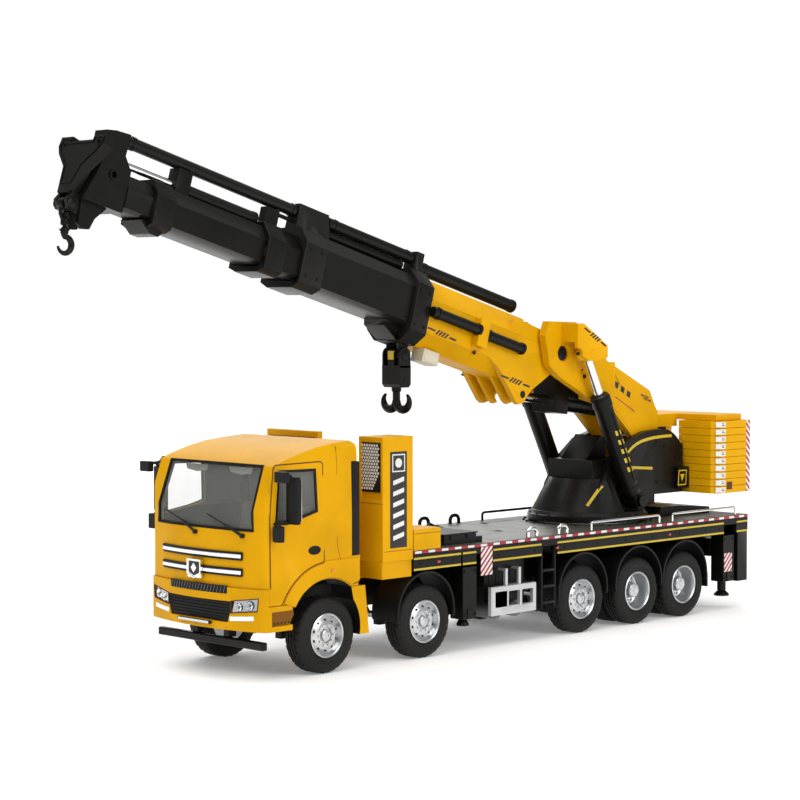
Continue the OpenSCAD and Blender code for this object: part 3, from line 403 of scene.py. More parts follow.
TREAD = [(0.6, RIM_R), (0.25, 6.8), (0.02, 7.3), (0.12, 7.45), (0.12, 7.9), (0.0, 8.1), (0.0, 9.0),
         (0.1, 9.15), (0.15, 9.7), (0.55, 10.35), (0.95, 10.66), (1.2, TYRE_R), (2.15, TYRE_R), (2.2, 10.3),
         (2.45, 10.3), (2.5, TYRE_R), (3.3, TYRE_R), (3.35, 10.35)]
# rim and disc as (radius, distance out from the wheel's face)
RIM_EDGE = [(RIM_R, 0.25), (6.0, 0.42), (5.7, 0.2)]
TWIN_DISC = [(5.45, -0.6), (5.1, -4.3), (4.7, -4.6), (3.0, -4.6), (2.7, -4.3), (2.45, -2.2), (2.3, -1.3),
             (1.9, -0.9), (0.9, -0.8), (0.8, -0.6), (0, -0.6)]
SINGLE_DISC = [(5.5, -0.8), (5.2, -1.4), (4.9, -1.3), (4.3, -0.75), (3.6, -0.45), (2.3, -0.4), (2.15, -0.9),
               (1.75, -0.95), (1.6, -0.1), (1.2, 0.1), (0.7, 0.12), (0.65, -0.1), (0, -0.1)]
# the nuts' circle and their two ends, then the holes' circle and their place, measured as above
TWIN_FITTINGS = (3.6, -4.7, -3.9, 4.4, -4.58)
SINGLE_FITTINGS = (2.85, -0.5, 0.1, 4.25, -0.72)
NUTS = 10
NUT_R = 0.34


def tyre(shape, x_in, centre):
    """A truck tyre: ridged side walls, three grooves round it and slots across its shoulders."""
    half = TREAD + [(TYRE_W - x, r) for x, r in reversed(TREAD)]
    rings = []
    for i, a in enumerate(turn(128)):
        ring = []
        for k, (x, r) in enumerate(half):
            shoulder = 9 <= k <= 12 or 9 <= len(half) - 1 - k <= 12
            rib = 15 <= k <= 16 or 15 <= len(half) - 1 - k <= 16
            if (i % 4 == 0 and shoulder) or (i % 4 == 2 and rib):
                r -= 0.2 if shoulder else 0.15
            ring.append(shape.vert(x_in + x, centre[0] + r * math.cos(a), centre[1] + r * math.sin(a)))
        rings.append(ring)
    shape.skin(rings, loop=True)


def wheel(shape, dark, inner, dual, centre):
    """Silver rim: a shallow pressed disc on single wheels, a deep dish with a hub on twin wheels."""
    face = TYRE_OUT - 0.5
    back = inner + 0.6
    plate = [(r, face + d) for r, d in RIM_EDGE + (TWIN_DISC if dual else SINGLE_DISC)]
    nut_ring, nut_low, nut_high, hole_ring, hole_x = TWIN_FITTINGS if dual else SINGLE_FITTINGS
    low, high = face + nut_low, face + nut_high
    shape.lathe([(0, back), (RIM_R, back), *plate], (0, *centre), "x", 72)
    for a in turn(NUTS):
        at = (0, centre[0] + nut_ring * math.cos(a), centre[1] + nut_ring * math.sin(a))
        nut = [(0, low), (NUT_R, low), (NUT_R, high - 0.1), (NUT_R * 0.75, high), (0, high)]
        shape.lathe(nut, at, "x", 6)
    # painted shade: dark discs stand for the holes through the wheel's disc
    for a in turn(NUTS, 0.5):
        at = (face + hole_x - 0.3, centre[0] + hole_ring * math.cos(a), centre[1] + hole_ring * math.sin(a))
        dark.lathe(disc(0.42, 0.35), at, "x", 12)


def wheels_and_tyres():
    for number, y in enumerate(AXLE_Y, 1):
        dual = number > 3
        body = f"axle_{number}"
        centre = (y, AXLE_Z)
        inner = TYRE_OUT - TYRE_W - (TYRE_W + 1 if dual else 0)
        rubber, rims, dark = Shape(), Shape(), Shape()
        for _ in both(rubber, rims, dark):
            tyre(rubber, TYRE_OUT - TYRE_W, centre)
            if dual:
                tyre(rubber, inner, centre)
            wheel(rims, dark, inner, dual, centre)
        shaft = inner + 1
        rims.lathe(disc(1, 2 * shaft), (-shaft, *centre), "x", 32)
        rubber.done(f"tyres_{number}_look", tyre_rubber, body=body, smooth=28, replaces=[f"tyres_{number}"])
        rims.done(f"wheels_{number}_look", silver, body=body, smooth=30, replaces=[f"wheels_{number}"])
        dark.done(f"wheel_hole_shade_{number}", ink_and_hole_shade, body=body)


# ---------------------------------------------------------------- cab

DOOR = [(-138.4, 25.9), (-138.6, 45.4), (-137.1, 58.8), (-136.3, 59.7), (-119.4, 59.9), (-118.6, 59.2),
        (-118.3, 32.2)]
SIDE_WINDOW = [(-134.8, 57.9), (-121.5, 57.7), (-121, 46.2), (-126.3, 44.9), (-136.4, 43.4)]
WINDSCREEN = [(-20.3, 41.7), (20.3, 41.7), (19.8, 59.1), (-19.8, 59.1)]
STEP = [(-138.2, 20.3), (-130.2, 20), (-129.9, 18.1), (-131.6, 15.6), (-138.2, 15.6)]
HANDLE = (-122, 35.3)
CAB_FLOOR_Z = 31
ARCH_LINING_R = 15.6
ARCH_LINING_X = 24.2


def side_x(z):
    """How far out the cab's flat side is at a height."""
    if z < 45:
        return 24.9 - 0.1 * (z - 14) / 31
    return 24.8 - 0.41 * (z - 45) / 17.57


def nose_y(x, z):
    """The cab's front surface: the leaning windscreen or the bowed nose, whichever is further back."""
    lean = -142.9 + (z - 41.2) * 6.3 / 18.1 if z > 41.2 else -143.4 + max(0, z - 34) * 0.5 / 7.2
    return max(lean, -143.4 + 3.2 * (x / 22.9) ** 2)


def bumper_y(x):
    """The bumper's bowed front surface."""
    return -144.2 + 3.4 * (x / 22.8) ** 2


def on_nose(points, proud=0.0):
    return [(x, nose_y(x, z) - proud, z) for x, z in points]


def on_bumper(points, proud=0.0):
    return [(x, bumper_y(x) - proud, z) for x, z in points]


def side_line(shape, points, width, proud=0.03, closed=False, thick=0.06):
    shape.band([(side_x(z) + proud - thick, y, z) for y, z in points], width, (1, 0, 0), thick, closed)


def inside_cab(face):
    """Whether a face of the cab is lining, looking towards the middle of the cab."""
    middle = face.calc_center_median()
    return face.normal.dot(middle - TRUCK @ Vector((0, -122, 38))) < 0


def cab():
    shell = dress("cab_shell", yellow, 0.45, trim_grey, inside_cab)
    # black below the cabin floor and in the wheel arches
    shell.data.materials.append(plastic)
    for polygon in shell.data.polygons:
        y, z = polygon.center.y / MM - SHIFT, polygon.center.z / MM
        in_arch = (math.hypot(y - ARCH[0], z - ARCH[1]) < ARCH_LINING_R
                   and abs(polygon.center.x) < ARCH_LINING_X * MM)
        if in_arch or (polygon.material_index and z < CAB_FLOOR_Z):
            polygon.material_index = 2
    dress("front_bumper", yellow, 0.3)
    dress("cab_glass", clear_glass, 0.0)
    dress("cab_interior", trim_grey, 0.5)
    seams, seals, handles, steps, shade = Shape(), Shape(), Shape(), Shape(), Shape()
    for hand in both(seams, seals, handles, steps, shade):
        side_line(seams, DOOR, 0.36)
        side_line(seams, [DOOR[-1], *arc(ARCH, 19.2, 96, 152, 10), (-134.3, 21.2)], 0.34)
        side_line(seams, [(-107.6, 24.4), (-104.6, 25.1)], 0.25)
        side_line(seams, [(-113.6, 64), (-113.2, 60), (-113.2, 36), (-112, 31.4)], 0.14)
        side_line(seals, SIDE_WINDOW, 0.75, proud=0.12, closed=True, thick=0.5)
        # recessed door pull: a dark oval with a raised rim
        x = side_x(HANDLE[1])
        oval = [(HANDLE[0] + 2.2 * math.cos(a), HANDLE[1] + 1.1 * math.sin(a)) for a in turn(28)]
        handles.band([(x - 0.1, y, z) for y, z in oval], 0.3, (1, 0, 0), 0.22, closed=True)
        handles.prism(oval, "x", (x - 0.3, x + 0.02))
        # raised lip over the wheel arch, with a side marker lamp
        lip, marker = Shape(hand=hand), Shape(hand=hand)
        outline = [*arc(ARCH, 18.9, 152, 96, 14), (-117.8, 32), (-104.9, 32), (-104.9, 25.5), (-107.2, 25),
                   *arc(ARCH, 14.7, 52, 149, 22)]
        lip.prism(outline, "x", (side_x(25) - 0.2, side_x(25) + 0.5))
        lip.done(f"arch_lip_{hand}", yellow, 0.22)
        marker.prism(arc((-115.6, 29.2), 0.55, 0, 345, 23), "x", (24.9, 25.6))
        marker.done(f"side_marker_{hand}", orange, 0.08)
        # shaded opening of the entry step, with its tread plates
        shade.prism(STEP, "x", (side_x(18) - 0.3, side_x(18) + 0.04))
        for k in range(5):
            steps.box((24, 24.98), (-137.4 + k * 1.35, -136.9 + k * 1.35), (15.9, 16.5))
    seals.band(on_nose(between(WINDSCREEN, 10), -0.35), 0.8, (0, -1, 0.33), 0.5, closed=True)
    seams.done("cab_seams", seam)
    seals.done("window_seals", plastic, 0.1)
    handles.done("door_pulls", plastic, 0.05)
    shade.done("entry_step_openings", recess)
    steps.done("entry_step_treads", plastic, 0.04)
    nose_details()
    head_lamps()
    wipers()
    mirrors()
    visors = Shape()
    for x in (-10, 9):
        outline = [(x - 5, 58.4), (x + 5, 58.4), (x + 4.4, 56.8), (x, 56.2), (x - 4.4, 56.8)]
        visors.prism(outline, "y", (-135.4, -135))
    visors.done("sun_visors", trim_grey, 0.1)


def nose_details():
    """Bright bars with gaskets, a plain shield badge, grille ribs, bumper lines and intake louvres."""
    dress("grille_trims", chrome, 0.18)
    gaskets = Shape()
    half = 16.9
    for z in (34.5, 30):
        rows = [[(half * k / 8, edge) for k in range(-8, 9)] for edge in (-0.85, 0.85)]
        rows += [[(end, -0.9), (end, 1.1)] for end in (-half, half)]
        for row in rows:
            gaskets.band([(x, nose_y(x, z) - 0.02, z + edge) for x, edge in row], 0.6, (0, -1, 0), 0.45)
    gaskets.done("bar_gaskets", plastic, 0.05)
    badge, field = Shape(), Shape()
    outline = [(-2.8, 32.6), (2.8, 32.6), (2.8, 28.7), (0, 27.5), (-2.8, 28.7)]
    field.prism([(x * 0.8, 30.2 + (z - 30.2) * 0.8) for x, z in outline], "y", (-144.98, -144.6))
    badge.band([(x, -144.75, z) for x, z in outline], 0.36, (0, -1, 0), 0.4, closed=True)
    badge.prism([(0, 31.7), (1.2, 30.3), (0, 28.9), (-1.2, 30.3)], "y", (-145.12, -144.8))
    field.done("badge_field", ink_and_hole_shade, 0.05)
    badge.done("badge_rim", chrome, 0.08)
    dress("front_grilles", plastic, 0.12)
    ribs, bars, plate, crease = Shape(), Shape(), Shape(), Shape()
    for k in range(6):
        z = 17 + k * 0.85
        half = 12.1 + (z - 16) * 0.305
        ribs.box((-half, half), (-143.15, -142.7), (z, z + 0.3))
    # upper intake with a row of slanted bars in front of its dark opening
    ribs.band(on_bumper([(x, 25.05) for x in (-12.2, -8, -4, 0, 4, 8, 12.2)], -0.12), 2.2, (0, -1, 0), 0.18)
    for x in [k * 1.25 for k in range(-9, 10)]:
        y = bumper_y(x) - 0.08
        bars.band([(x - 0.35, y, 24.15), (x + 0.35, y, 25.95)], 0.16, (0, -1, 0), 0.1)
    ribs.done("grille_ribs", plastic, 0.06)
    bars.done("intake_bars", grey)
    plate.box((-6.6, 6.6), (-145.42, -145.28), (15.3, 16))
    plate.done("plate_edge", white, 0.05)
    crease.band(on_bumper([(-12, 14.6), (0, 14.6), (12, 14.6)], -0.1), 0.18, (0, -1, 0), 0.12)
    crease.done("bumper_crease", seam)
    dress("underrun_bar", black, 0.4)
    dress("air_intake", plastic, 0.4)
    louvres = Shape()
    for _ in both(louvres):
        for z in range(9):
            louvres.box((24.55, 24.85), (-107.1, -104.7), (z + 49.5, z + 49.95))
    louvres.done("intake_louvres", plastic, 0.08)


def head_lamps():
    """Bright bowls behind a lens, ringed by a dark raised line of painted shade, and a fog lamp strip below.
    """
    dress("head_lamps", lamp, 0.1)
    bowls, shade_outlines, bulbs = Shape(), Shape(), Shape()
    outward = (0.12, -1, 0)
    for _ in both(bowls, shade_outlines, bulbs):
        for x, z, r in ((16, 20.4, 1.25), (19.6, 21.1, 1.35)):
            at = (x, bumper_y(x) + 0.3, z)
            bowl = [(r, -0.12), (r * 0.8, -0.3), (r * 0.75, -0.05), (0.35, 0.25), (0, 0.25)]
            bowls.lathe(bowl, at, "y", 28)
            bulbs.lathe([(0, -0.34), (0.25, -0.26), (0.36, -0.02), (0, 0)], at, "y", 16)
        # painted shade: a dark raised line round each lamp cluster
        outline = [(13.4, 18.7), (22.2, 19.7), (22.6, 23.2), (13.6, 22)]
        shade_outlines.band(on_bumper(between(outline, 5), -0.25), 0.28, outward, 0.35, closed=True)
        fog_strip = [(13.2, 17.1), (16, 17.3), (18.8, 17.5), (21.2, 17.7)]
        bowls.band(on_bumper(fog_strip, -0.1), 1.25, outward, 0.25)
    bowls.done("lamp_reflectors", chrome, 0.05, slot="lamp")
    bulbs.done("lamp_bulbs", trim_grey, slot="lamp")
    shade_outlines.done("lamp_outline_shade", seam)


def wipers():
    arms = Shape()
    for x_low, x_high in ((-1.3, -8.6), (17.2, 9.6)):
        low, = on_nose([(x_low, 40.2)], 0.5)
        high, = on_nose([(x_high, 43.4)], 0.7)
        heel, tip = on_nose([(x_high + 3.5, 42.4), (x_high - 7.5, 45.4)], 0.4)
        arms.lathe([(0, -0.5), (0.62, -0.4), (0.62, 0.6), (0, 0.6)], low, "y", 16)
        arms.tube([low, high], 0.34, 8, taper=[0.42, 0.26])
        arms.tube([heel, high, tip], 0.2, 8)
    arms.done("wipers_look", plastic, replaces=["wipers"])


def mirrors():
    shells, glasses, arms = Shape(), Shape(), Shape()
    main = [(26.5, -134.1), (27, -134.6), (30.4, -134.7), (31.2, -134.2), (31.2, -133), (30.4, -132.3),
            (27, -132.2), (26.5, -132.6)]
    for _ in both(shells, glasses, arms):
        shells.prism(main, "z", (43.6, 56.6))
        shells.box((25.6, 28.6), (-138.4, -136.4), (38.8, 43.2))
        shells.box((27.3, 31.4), (-139.3, -137.2), (55.3, 58.3))
        glasses.box((27.2, 30.7), (-132.2, -132.0), (44.4, 55.8))
        stay = [(24.5, -135, 57.6), (26.6, -135.6, 58.1), (28.4, -135.4, 57.6), (28.8, -134, 56.2)]
        arms.tube(stay, 0.5, 10)
        arms.tube([(26.6, -135.6, 58.0), (28.4, -137.2, 57.6)], 0.45, 10)
        arms.tube([(24.6, -136.9, 43.6), (26.6, -136.6, 43.9), (28.4, -134.8, 43.9)], 0.45, 10)
        arms.tube([(26.8, -136.6, 43.8), (27.1, -137.4, 42.6)], 0.45, 10)
    shells.done("mirrors_look", plastic, 0.7, replaces=["mirrors"])
    glasses.done("mirror_glasses", chrome, 0.1)
    arms.done("mirror_arms", plastic)


# ---------------------------------------------------------------- chassis, deck and boxes

SKIRT_RUNS = ((-83, -62.9), (-62.3, -56.2), (-49, -26.8), (-19.6, 66), (73, 79.4))


def chassis():
    dress_all(black, frame_rails=0.15, outrigger_housings=0.15, side_skirts=0.2)
    dress_all(plastic, fenders=0.12, ladders=0.15, pump_unit=0.4)
    dress("tank_guards", guard_silver, 0.3)
    dress("tanks", grey, 0.5)
    dress("slew_ring", steel, 0.1)
    dress("deck", deck_grey, 0.25, black, lambda face: face.normal.z < 0.6)
    deck_edge()
    deck_fittings()
    pump_and_locker()
    tail_end()
    handrails()
    for end in ("front", "rear"):
        for hand in SIDES:
            outrigger(end, hand)


def deck_edge():
    """Red and white tape along the deck's edge, and the two yellow lines on the skirts."""
    tape_red, tape_white, lines, stripes = Shape(), Shape(), Shape(), Shape()
    for _ in both(tape_red, tape_white, lines, stripes):
        tape_red.box((24.8, 25.04), (-82.9, 79.3), (31.05, 31.85))
        for k in range(29):
            y = -82.4 + k * 5.6
            tape_white.box((24.9, 25.1), (y, y + 2.7), (31.1, 31.8))
        for low, high in SKIRT_RUNS:
            for z in (29.35, 26.15):
                lines.box((24.8, 25.06), (low + 0.15, high - 0.15), (z, z + 0.6))
        stripes.box((24.3, 25.05), (-54.3, -49.2), (22.3, 30.9))
    tape_red.done("edge_tape_red", red)
    tape_white.done("edge_tape_white", white)
    lines.done("skirt_lines", lime)
    stripes.done("front_hazard_plates", hazard, 0.08)


def deck_fittings():
    """Bolts and lamps along the skirts, panels of the battery box, and the deck's plate joints."""
    bolts, plates, marker, seam_lines = Shape(), Shape(), Shape(), Shape()
    for _ in both(bolts, plates, marker):
        for y in (-80, -66, -46, -30, -16, 0, 14, 28, 42, 56, 64):
            bolts.lathe(bolt(0.42, 0.22, 0.3, 0.32), (24.9, y, 27.9), "x", 6)
        plates.box((20.4, 20.7), (-47, -31), (14.2, 22.8))
        for k in range(5):
            plates.box((20.6, 20.95), (-46.4 + k * 3.1, -44.2 + k * 3.1), (14.8, 22.2))
        for y in (-73, -20, 36):
            marker.box((24.9, 25.1), (y, y + 1.2), (27.7, 28.4))
    for y, z in arc((SLEW_Y, 0), 21.2, 0, 345, 23):
        bolts.lathe(bolt(0.5, 0.35, 0.36, 0.5), (z, y, DECK_Z), "z", 6)
    for y in (-44, -14, 3.5, 48, 62):
        seam_lines.box((-24.6, 24.6), (y, y + 0.18), (DECK_Z - 0.01, DECK_Z + 0.03))
    bolts.done("deck_bolts", black)
    plates.done("battery_box_panels", plastic, 0.15)
    marker.done("side_marker_lamps", tail_red, 0.06)
    seam_lines.done("deck_plate_joints", ink_and_hole_shade, slot="deck_paint")


def pump_and_locker():
    """Short hoses, motor fins and caps on the pump, and a low locker in two steps beside it."""
    hoses, locker = Shape(), Shape()
    for x, bulge in ((-6, 1.2), (-4.4, 2), (-1.6, 1.5)):
        path = ((-49.5, 31.8), (-48.6, 33 + bulge * 0.4), (-46, 33.2 + bulge), (-42, 32.7 + bulge * 0.4),
                (-38, 32.5), (-36.6, 32.2), (-36.2, 31.6))
        hoses.tube([(x, y, z) for y, z in path], 0.5, 10)
    for k in range(8):
        hoses.lathe(collar(2.55, 0.35, 0.5), (-3, -66.5 + k * 1.5, 33), "y", 32)
    for x, y in ((-9.6, -65), (-13, -60)):
        hoses.lathe(bolt(1.7, 0.8, 1.3, 1.1), (x, y, 33.2), "z", 24)
    hoses.done("pump_hoses_and_caps", plastic, smooth=40)
    locker.box((3, 21.4), (-66.5, -52.6), (31.8, 35))
    locker.box((2.6, 21.8), (-66.9, -52.2), (35, 35.35))
    locker.box((9, 21.4), (-52.6, -49.9), (31.8, 33.8))
    for y in (-64, -57):
        locker.box((21.2, 21.75), (y, y + 1.2), (33.6, 35.2))
    locker.tube([(6, -52.4, 33.4), (6, -51.7, 33.4), (8.2, -51.7, 33.4), (8.2, -52.4, 33.4)], 0.18, 8)
    locker.done("deck_locker", plastic, 0.2)


def tail_end():
    """Lamp clusters and ribs on the corner boxes, and tape across the back of the deck."""
    y = TAIL_Y
    reds, ambers, shells, tape = Shape(), Shape(), Shape(), Shape()
    for _ in both(reds, ambers, shells):
        shells.box((14.8, 23.8), (y - 0.2, y + 0.25), (14.2, 18.6))
        shells.box((15.4, 23.4), (y - 0.2, y + 0.3), (10.2, 10.7))
        for k, shape in enumerate((reds, ambers, reds)):
            x = 15.2 + k * 2.9
            shape.box((x, x + 2.5), (y + 0.1, y + 0.55), (14.7, 18.1))
    for k in range(-4, 5):
        shape = reds if k % 2 else tape
        shape.box((k * 5.5 - 2.6, k * 5.5 + 2.6), (y - 0.1, y + 0.08), (30.4, 31.4))
    shells.done("tail_lamp_housings", plastic, 0.15)
    reds.done("tail_lamps_red", tail_red, 0.1)
    ambers.done("tail_lamps_amber", orange, 0.1)
    tape.done("tail_tape", white)


# place across, span along the truck, height, radius and corner radius of each bent rail
RAILS = ((23.6, (-1.6, 32.8), 3, 0.42, 0.9), (23.6, (39.6, 74), 3, 0.42, 0.9),
         (23.4, (-31.4, -27.4), 3.2, 0.6, 1.6), (23.4, (-17.2, -13.2), 3.2, 0.6, 1.6))


def handrails():
    """Bent wire rails: bright on the left side, black on the right."""
    for hand, look in (("left", chrome), ("right", black)):
        wire = Shape(hand=hand)
        for x, y, h, r, corner in RAILS:
            top = DECK_Z + h - corner
            path = [(y[0], DECK_Z - 0.1), (y[0], top), *arc((y[0] + corner, top - r), corner, 180, 90, 6),
                    *arc((y[1] - corner, top - r), corner, 90, 0, 6), (y[1], DECK_Z - 0.1)]
            wire.tube([(x, a, b) for a, b in path], r, 10)
        replaced = ["deck_rails"] if hand == "left" else []
        wire.done(f"deck_rails_{hand}", look, slot="rail_white", replaces=replaced)


def boxes():
    dress("equipment_boxes", yellow, 0.35)
    frames, mesh, panel, art, seams = Shape(), Shape(), Shape(), Shape(), Shape()
    # perforated panels high on the front of both boxes
    pitch = 1.02
    for x, z in (((15.3, 24.5), (49.6, 65.2)), ((-24.4, -3), (47.5, 65.8))):
        frames.box(x, (-95.25, -94.95), z)
        for row in range(int((z[1] - z[0] - 2.2) / (pitch * 0.87))):
            for column in range(int((x[1] - x[0] - 1.5) / pitch)):
                u = x[0] + 0.9 + (column + 0.5 * (row % 2)) * pitch
                v = z[0] + 1.1 + row * pitch * 0.87
                if x[0] > 0 and v < 56.5 and u > 21 + (v - 50) * 0.4:
                    continue
                ring = [(u + 0.43 * math.cos(a), v + 0.43 * math.sin(a)) for a in turn(6, 0.5)]
                mesh.prism(ring, "y", (-95.3, -95.2))
    frames.done("mesh_panels", plastic, 0.1)
    mesh.done("mesh_openings", white)
    # dark side panel with a framed dot and plain bars
    panel.box((24.8, 25.06), (-92.6, -85.8), (33.5, 61.3))
    square = [(25.07, y, z) for y, z in ((-91.6, 60.4), (-86.8, 60.4), (-86.8, 55.6), (-91.6, 55.6))]
    art.band(square, 0.35, (1, 0, 0), 0.04, closed=True)
    art.prism(arc((-89.2, 58), 1.35, 0, 345, 23), "x", (25, 25.1))
    for k in range(6):
        z = 35.6 + k * 3.2
        art.prism([(-91.4, z), (-87, z + 1.1), (-87, z + 2.4), (-91.4, z + 1.3)], "x", (25, 25.1))
    panel.done("box_side_panel", ink_and_hole_shade)
    art.done("box_side_bars", white)
    for _ in both(seams):
        seams.band([(25, -95.1, 32.6), (25, -83.6, 32.6)], 0.14, (1, 0, 0), 0.03)
    seams.band([(15.6, BOX_FRONT_Y, 46.4), (24.4, BOX_FRONT_Y, 46.4)], 0.14, (0, -1, 0), 0.03)
    seams.band([(25, -82.6, 36.9), (25, -71.8, 36.9)], 0.14, (1, 0, 0), 0.03)
    seams.done("box_seams", seam)
    # doors, hinges and handles on the backs of the tall boxes
    doors, handles = Shape(), Shape()
    y = BOX_BACK_Y
    for x, z in (((16, 24), (40.5, 62)), ((-24, -3.6), (34, 58))):
        ring = [(x[0] + 0.6, y, z[0]), (x[1] - 0.6, y, z[0]), (x[1] - 0.6, y, z[1]), (x[0] + 0.6, y, z[1])]
        doors.band(ring, 0.3, (0, 1, 0), 0.06, closed=True)
        middle = (z[0] + z[1]) / 2
        handles.box((x[0] + 1.4, x[0] + 2.2), (y - 0.1, y + 0.5), (middle - 2, middle + 2))
        for k in (-1, 0, 1):
            hinge = middle + k * (z[1] - z[0]) * 0.36
            handles.box((x[1] - 1.2, x[1] - 0.5), (y - 0.1, y + 0.35), (hinge - 1.2, hinge + 1.2))
    doors.done("box_door_seams", seam)
    handles.done("box_handles", plastic, 0.1)


def outrigger(end, hand):
    y = -58.5 if end == "front" else 69.5
    beam = f"beam_{end}_{hand}"
    dress(beam, black, 0.3)
    dress(f"jack_{end}_{hand}", black, 0.15)
    detail = Shape(hand=hand)
    for dy in (-2.2, 2.2):
        for z in (11, 24):
            detail.lathe(bolt(0.5, 0.3, 0.35, 0.4), (24.3, y + dy, z), "x", 6)
    detail.box((24.3, 24.7), (y - 1.2, y + 1.2), (9.8, 12.6))
    detail.done(f"leg_fittings_{end}_{hand}", black, 0.08, beam)
    if end == "rear":
        stripes = Shape(hand=hand)
        stripes.box((24.3, 24.52), (67, 71.2), (13, 19.3))
        stripes.done(f"rear_hazard_plate_{hand}", hazard, 0.04, beam)


# ---------------------------------------------------------------- crane

def crane_base():
    dress_all(black, turntable=0.3, column=0.4, crane_pins=0.3)
    lines, bolts, emblem = Shape(), Shape(), Shape()
    upper = ((30.6, 54.6), (31.8, 55.5), (33.4, 56.5), (35.2, 57.3), (37.8, 58.1), (40.5, 58.6), (44, 59),
             (47.6, 59.2), (50.8, 59.3), (53.9, 59.3))
    # a line that climbs round the cone, which tapers by 5.9 in 11 mm
    around = [math.radians(40 + 3 * k) for k in range(8)]
    climb = [38.2 + 6.6 * math.sin(math.pi / 2 * k / 9) for k in range(8)]
    reach = [18.43 - 5.9 * (z - 36) / 11 for z in climb]
    on_cone = [(r * math.sin(a), SLEW_Y - r * math.cos(a), z) for a, z, r in zip(around, climb, reach)]
    outward = [(math.sin(a), -math.cos(a), 0.54) for a in around]
    for _ in both(lines, bolts):
        lines.band([(12, y, z) for y, z in upper], 1.0, (1, 0, 0), 0.06)
        lines.band(on_cone, 1.0, outward, 0.05)
        lines.band([(12, 32.7, 49.6), (12, 43.6, 48.8)], 0.9, (1, 0, 0), 0.06)
        for y, z in ((20, 40), (24, 44), (34, 42), (46, 44), (52, 44), (56, 52), (50, 56), (28, 52)):
            bolts.lathe(bolt(0.5, 0.3, 0.36, 0.42), (12, y, z), "x", 6)
    for a in turn(20):
        at = (19.2 * math.cos(a), SLEW_Y + 19.2 * math.sin(a), 34.6)
        bolts.lathe(bolt(0.55, 0.4, 0.4, 0.6), at, "z", 6)
    lines.done("column_lines", lime, body="crane")
    bolts.done("column_bolts", black, body="crane")
    plate = ((55.9, 47.4), (60, 47.4), (59.6, 42.6), (55.5, 42.6))
    emblem.band([(13.6, y, z) for y, z in plate], 0.4, (1, 0, 0), 0.06, closed=True)
    emblem.prism([(56.6, 46.2), (59, 46.2), (57.6, 43.8)], "x", (13.55, 13.67))
    emblem.done("cover_emblem", lime, body="crane")


def counterweight():
    dress("counterweight", yellow, 0.2)
    labels, slots, bars = Shape(), Shape(), Shape()
    low, high, plates = 39.8, 64.3, 10
    pitch = (high - low) / plates
    label = [(25.06, 66.6), (25.06, 63.95), (24.0, 62.6), (23.7, 62.75), (24.6, 64.1), (24.6, 66.6)]
    for hand in both(labels, slots, bars):
        for z in [low + k * pitch for k in range(plates)]:
            labels.prism(label, "z", (z + 0.35, z + pitch - 0.4))
            bars.box((25, 25.09), (64.6, 66), (z + 0.8, z + 1.1))
            bars.box((25, 25.09), (64.6, 65.6), (z + 1.4, z + 1.65))
        slots.box((24.9, 25.05), (67.4, 70.4), (41, 43.6))
        tape = Shape(hand=hand)
        tape.box((24.9, 25.06), (78.2, 80.36), (low + 0.2, high - 0.2))
        tape.box((22.8, 25.0), (80.3, 80.4), (low + 0.2, high - 0.2))
        tape.done(f"tail_tape_{hand}", tail_stripes, body="crane")
    labels.done("plate_labels", white, body="crane")
    bars.done("plate_label_bars", ink_and_hole_shade, body="crane")
    slots.done("plate_notches", seam, body="crane")


def ticks(shape, start, end, x):
    """A plain printed dash pattern: a long bar, four short slanted ticks and another bar."""
    d = Vector(end) - Vector(start)
    across = Vector((-d.y, d.x)).normalized()

    def at(t, w):
        return (x, *(Vector(start) + d * t + across * w))
    spans = [(0, 0.27, 0.3)] + [(0.33 + 0.1 * k, 0.39 + 0.1 * k, 0.85) for k in range(4)] + [(0.77, 1, 0.32)]
    for t0, t1, half in spans:
        slant = 0.06 * half
        corners = [at(t0 - slant, -half), at(t1 - slant, -half), at(t1 + slant, half), at(t0 + slant, half)]
        shape.faces(corners, [(0, 1, 2, 3)])


def inner_arm():
    dress_all(yellow, inner_arm=0.4, arm_pins=0.2)
    marks, stripe, welds, bolts, hoses = Shape(), Shape(), Shape(), Shape(), Shape()
    hose = [(7.4, 45, 67), (7, 38, 74.6), (7, 30, 79.4), (7, 24, 83.4), (7.4, 17, 88.6), (7.4, 10, 92.5),
            (6.6, 4, 94.4)]
    for _ in both(marks, stripe, welds, bolts, hoses):
        ticks(marks, (0.6, 96.2), (11.2, 90.2), 18.74)
        ticks(marks, (40.8, 73.6), (45.9, 71), 9.34)
        stripe.band([(9.3, 24.6, 74.6), (9.3, 37.4, 67.9)], 0.35, (1, 0, 0), 0.05)
        for k in range(3):
            y, z = 26.8 + k * 3.1, 76.6 - k * 1.62
            square = ((y, z), (y + 1.8, z - 0.94), (y + 2.4, z + 0.9), (y + 0.6, z + 1.84))
            marks.faces([(9.33, a, b) for a, b in square], [(0, 1, 2, 3)])
        welds.band([(12, y, z) for y, z in ((-8.2, 84.8), (-3.3, 81.2), (11.9, 73.6), (23.4, 71.4))], 0.35,
                   (1, 0, 0), 0.12)
        welds.band([(9.3, 25.4, 71), (9.3, 35.8, 61.4)], 0.35, (1, 0, 0), 0.12)
        # knuckle pin cap in its recess, black as painted shade of the recess, and the fork's pin cap
        cap = [(0, 0), (2.3, 0), (2.3, 0.15), (1.5, 0.3), (1.4, 0.1), (0, 0.1)]
        bolts.lathe(cap, (11.4, *KNUCKLE), "x", 36)
        bolts.lathe(disc(0.7, 0.3), (12, 8.4, 80.4), "x", 20)
        hoses.tube(hose, 0.55, 10)
        hoses.tube([(x - 1.5, y, z) for x, y, z in hose], 0.55, 10)
    marks.done("arm_dashes", ink_and_hole_shade, body="arm")
    stripe.done("arm_red_line", red, body="arm", slot="black_plastic")
    welds.done("arm_welds", yellow, 0.08, "arm")
    bolts.done("arm_pin_caps_and_recess_shade", plastic, body="arm", slot="steel")
    hoses.done("arm_hoses", plastic, body="arm")


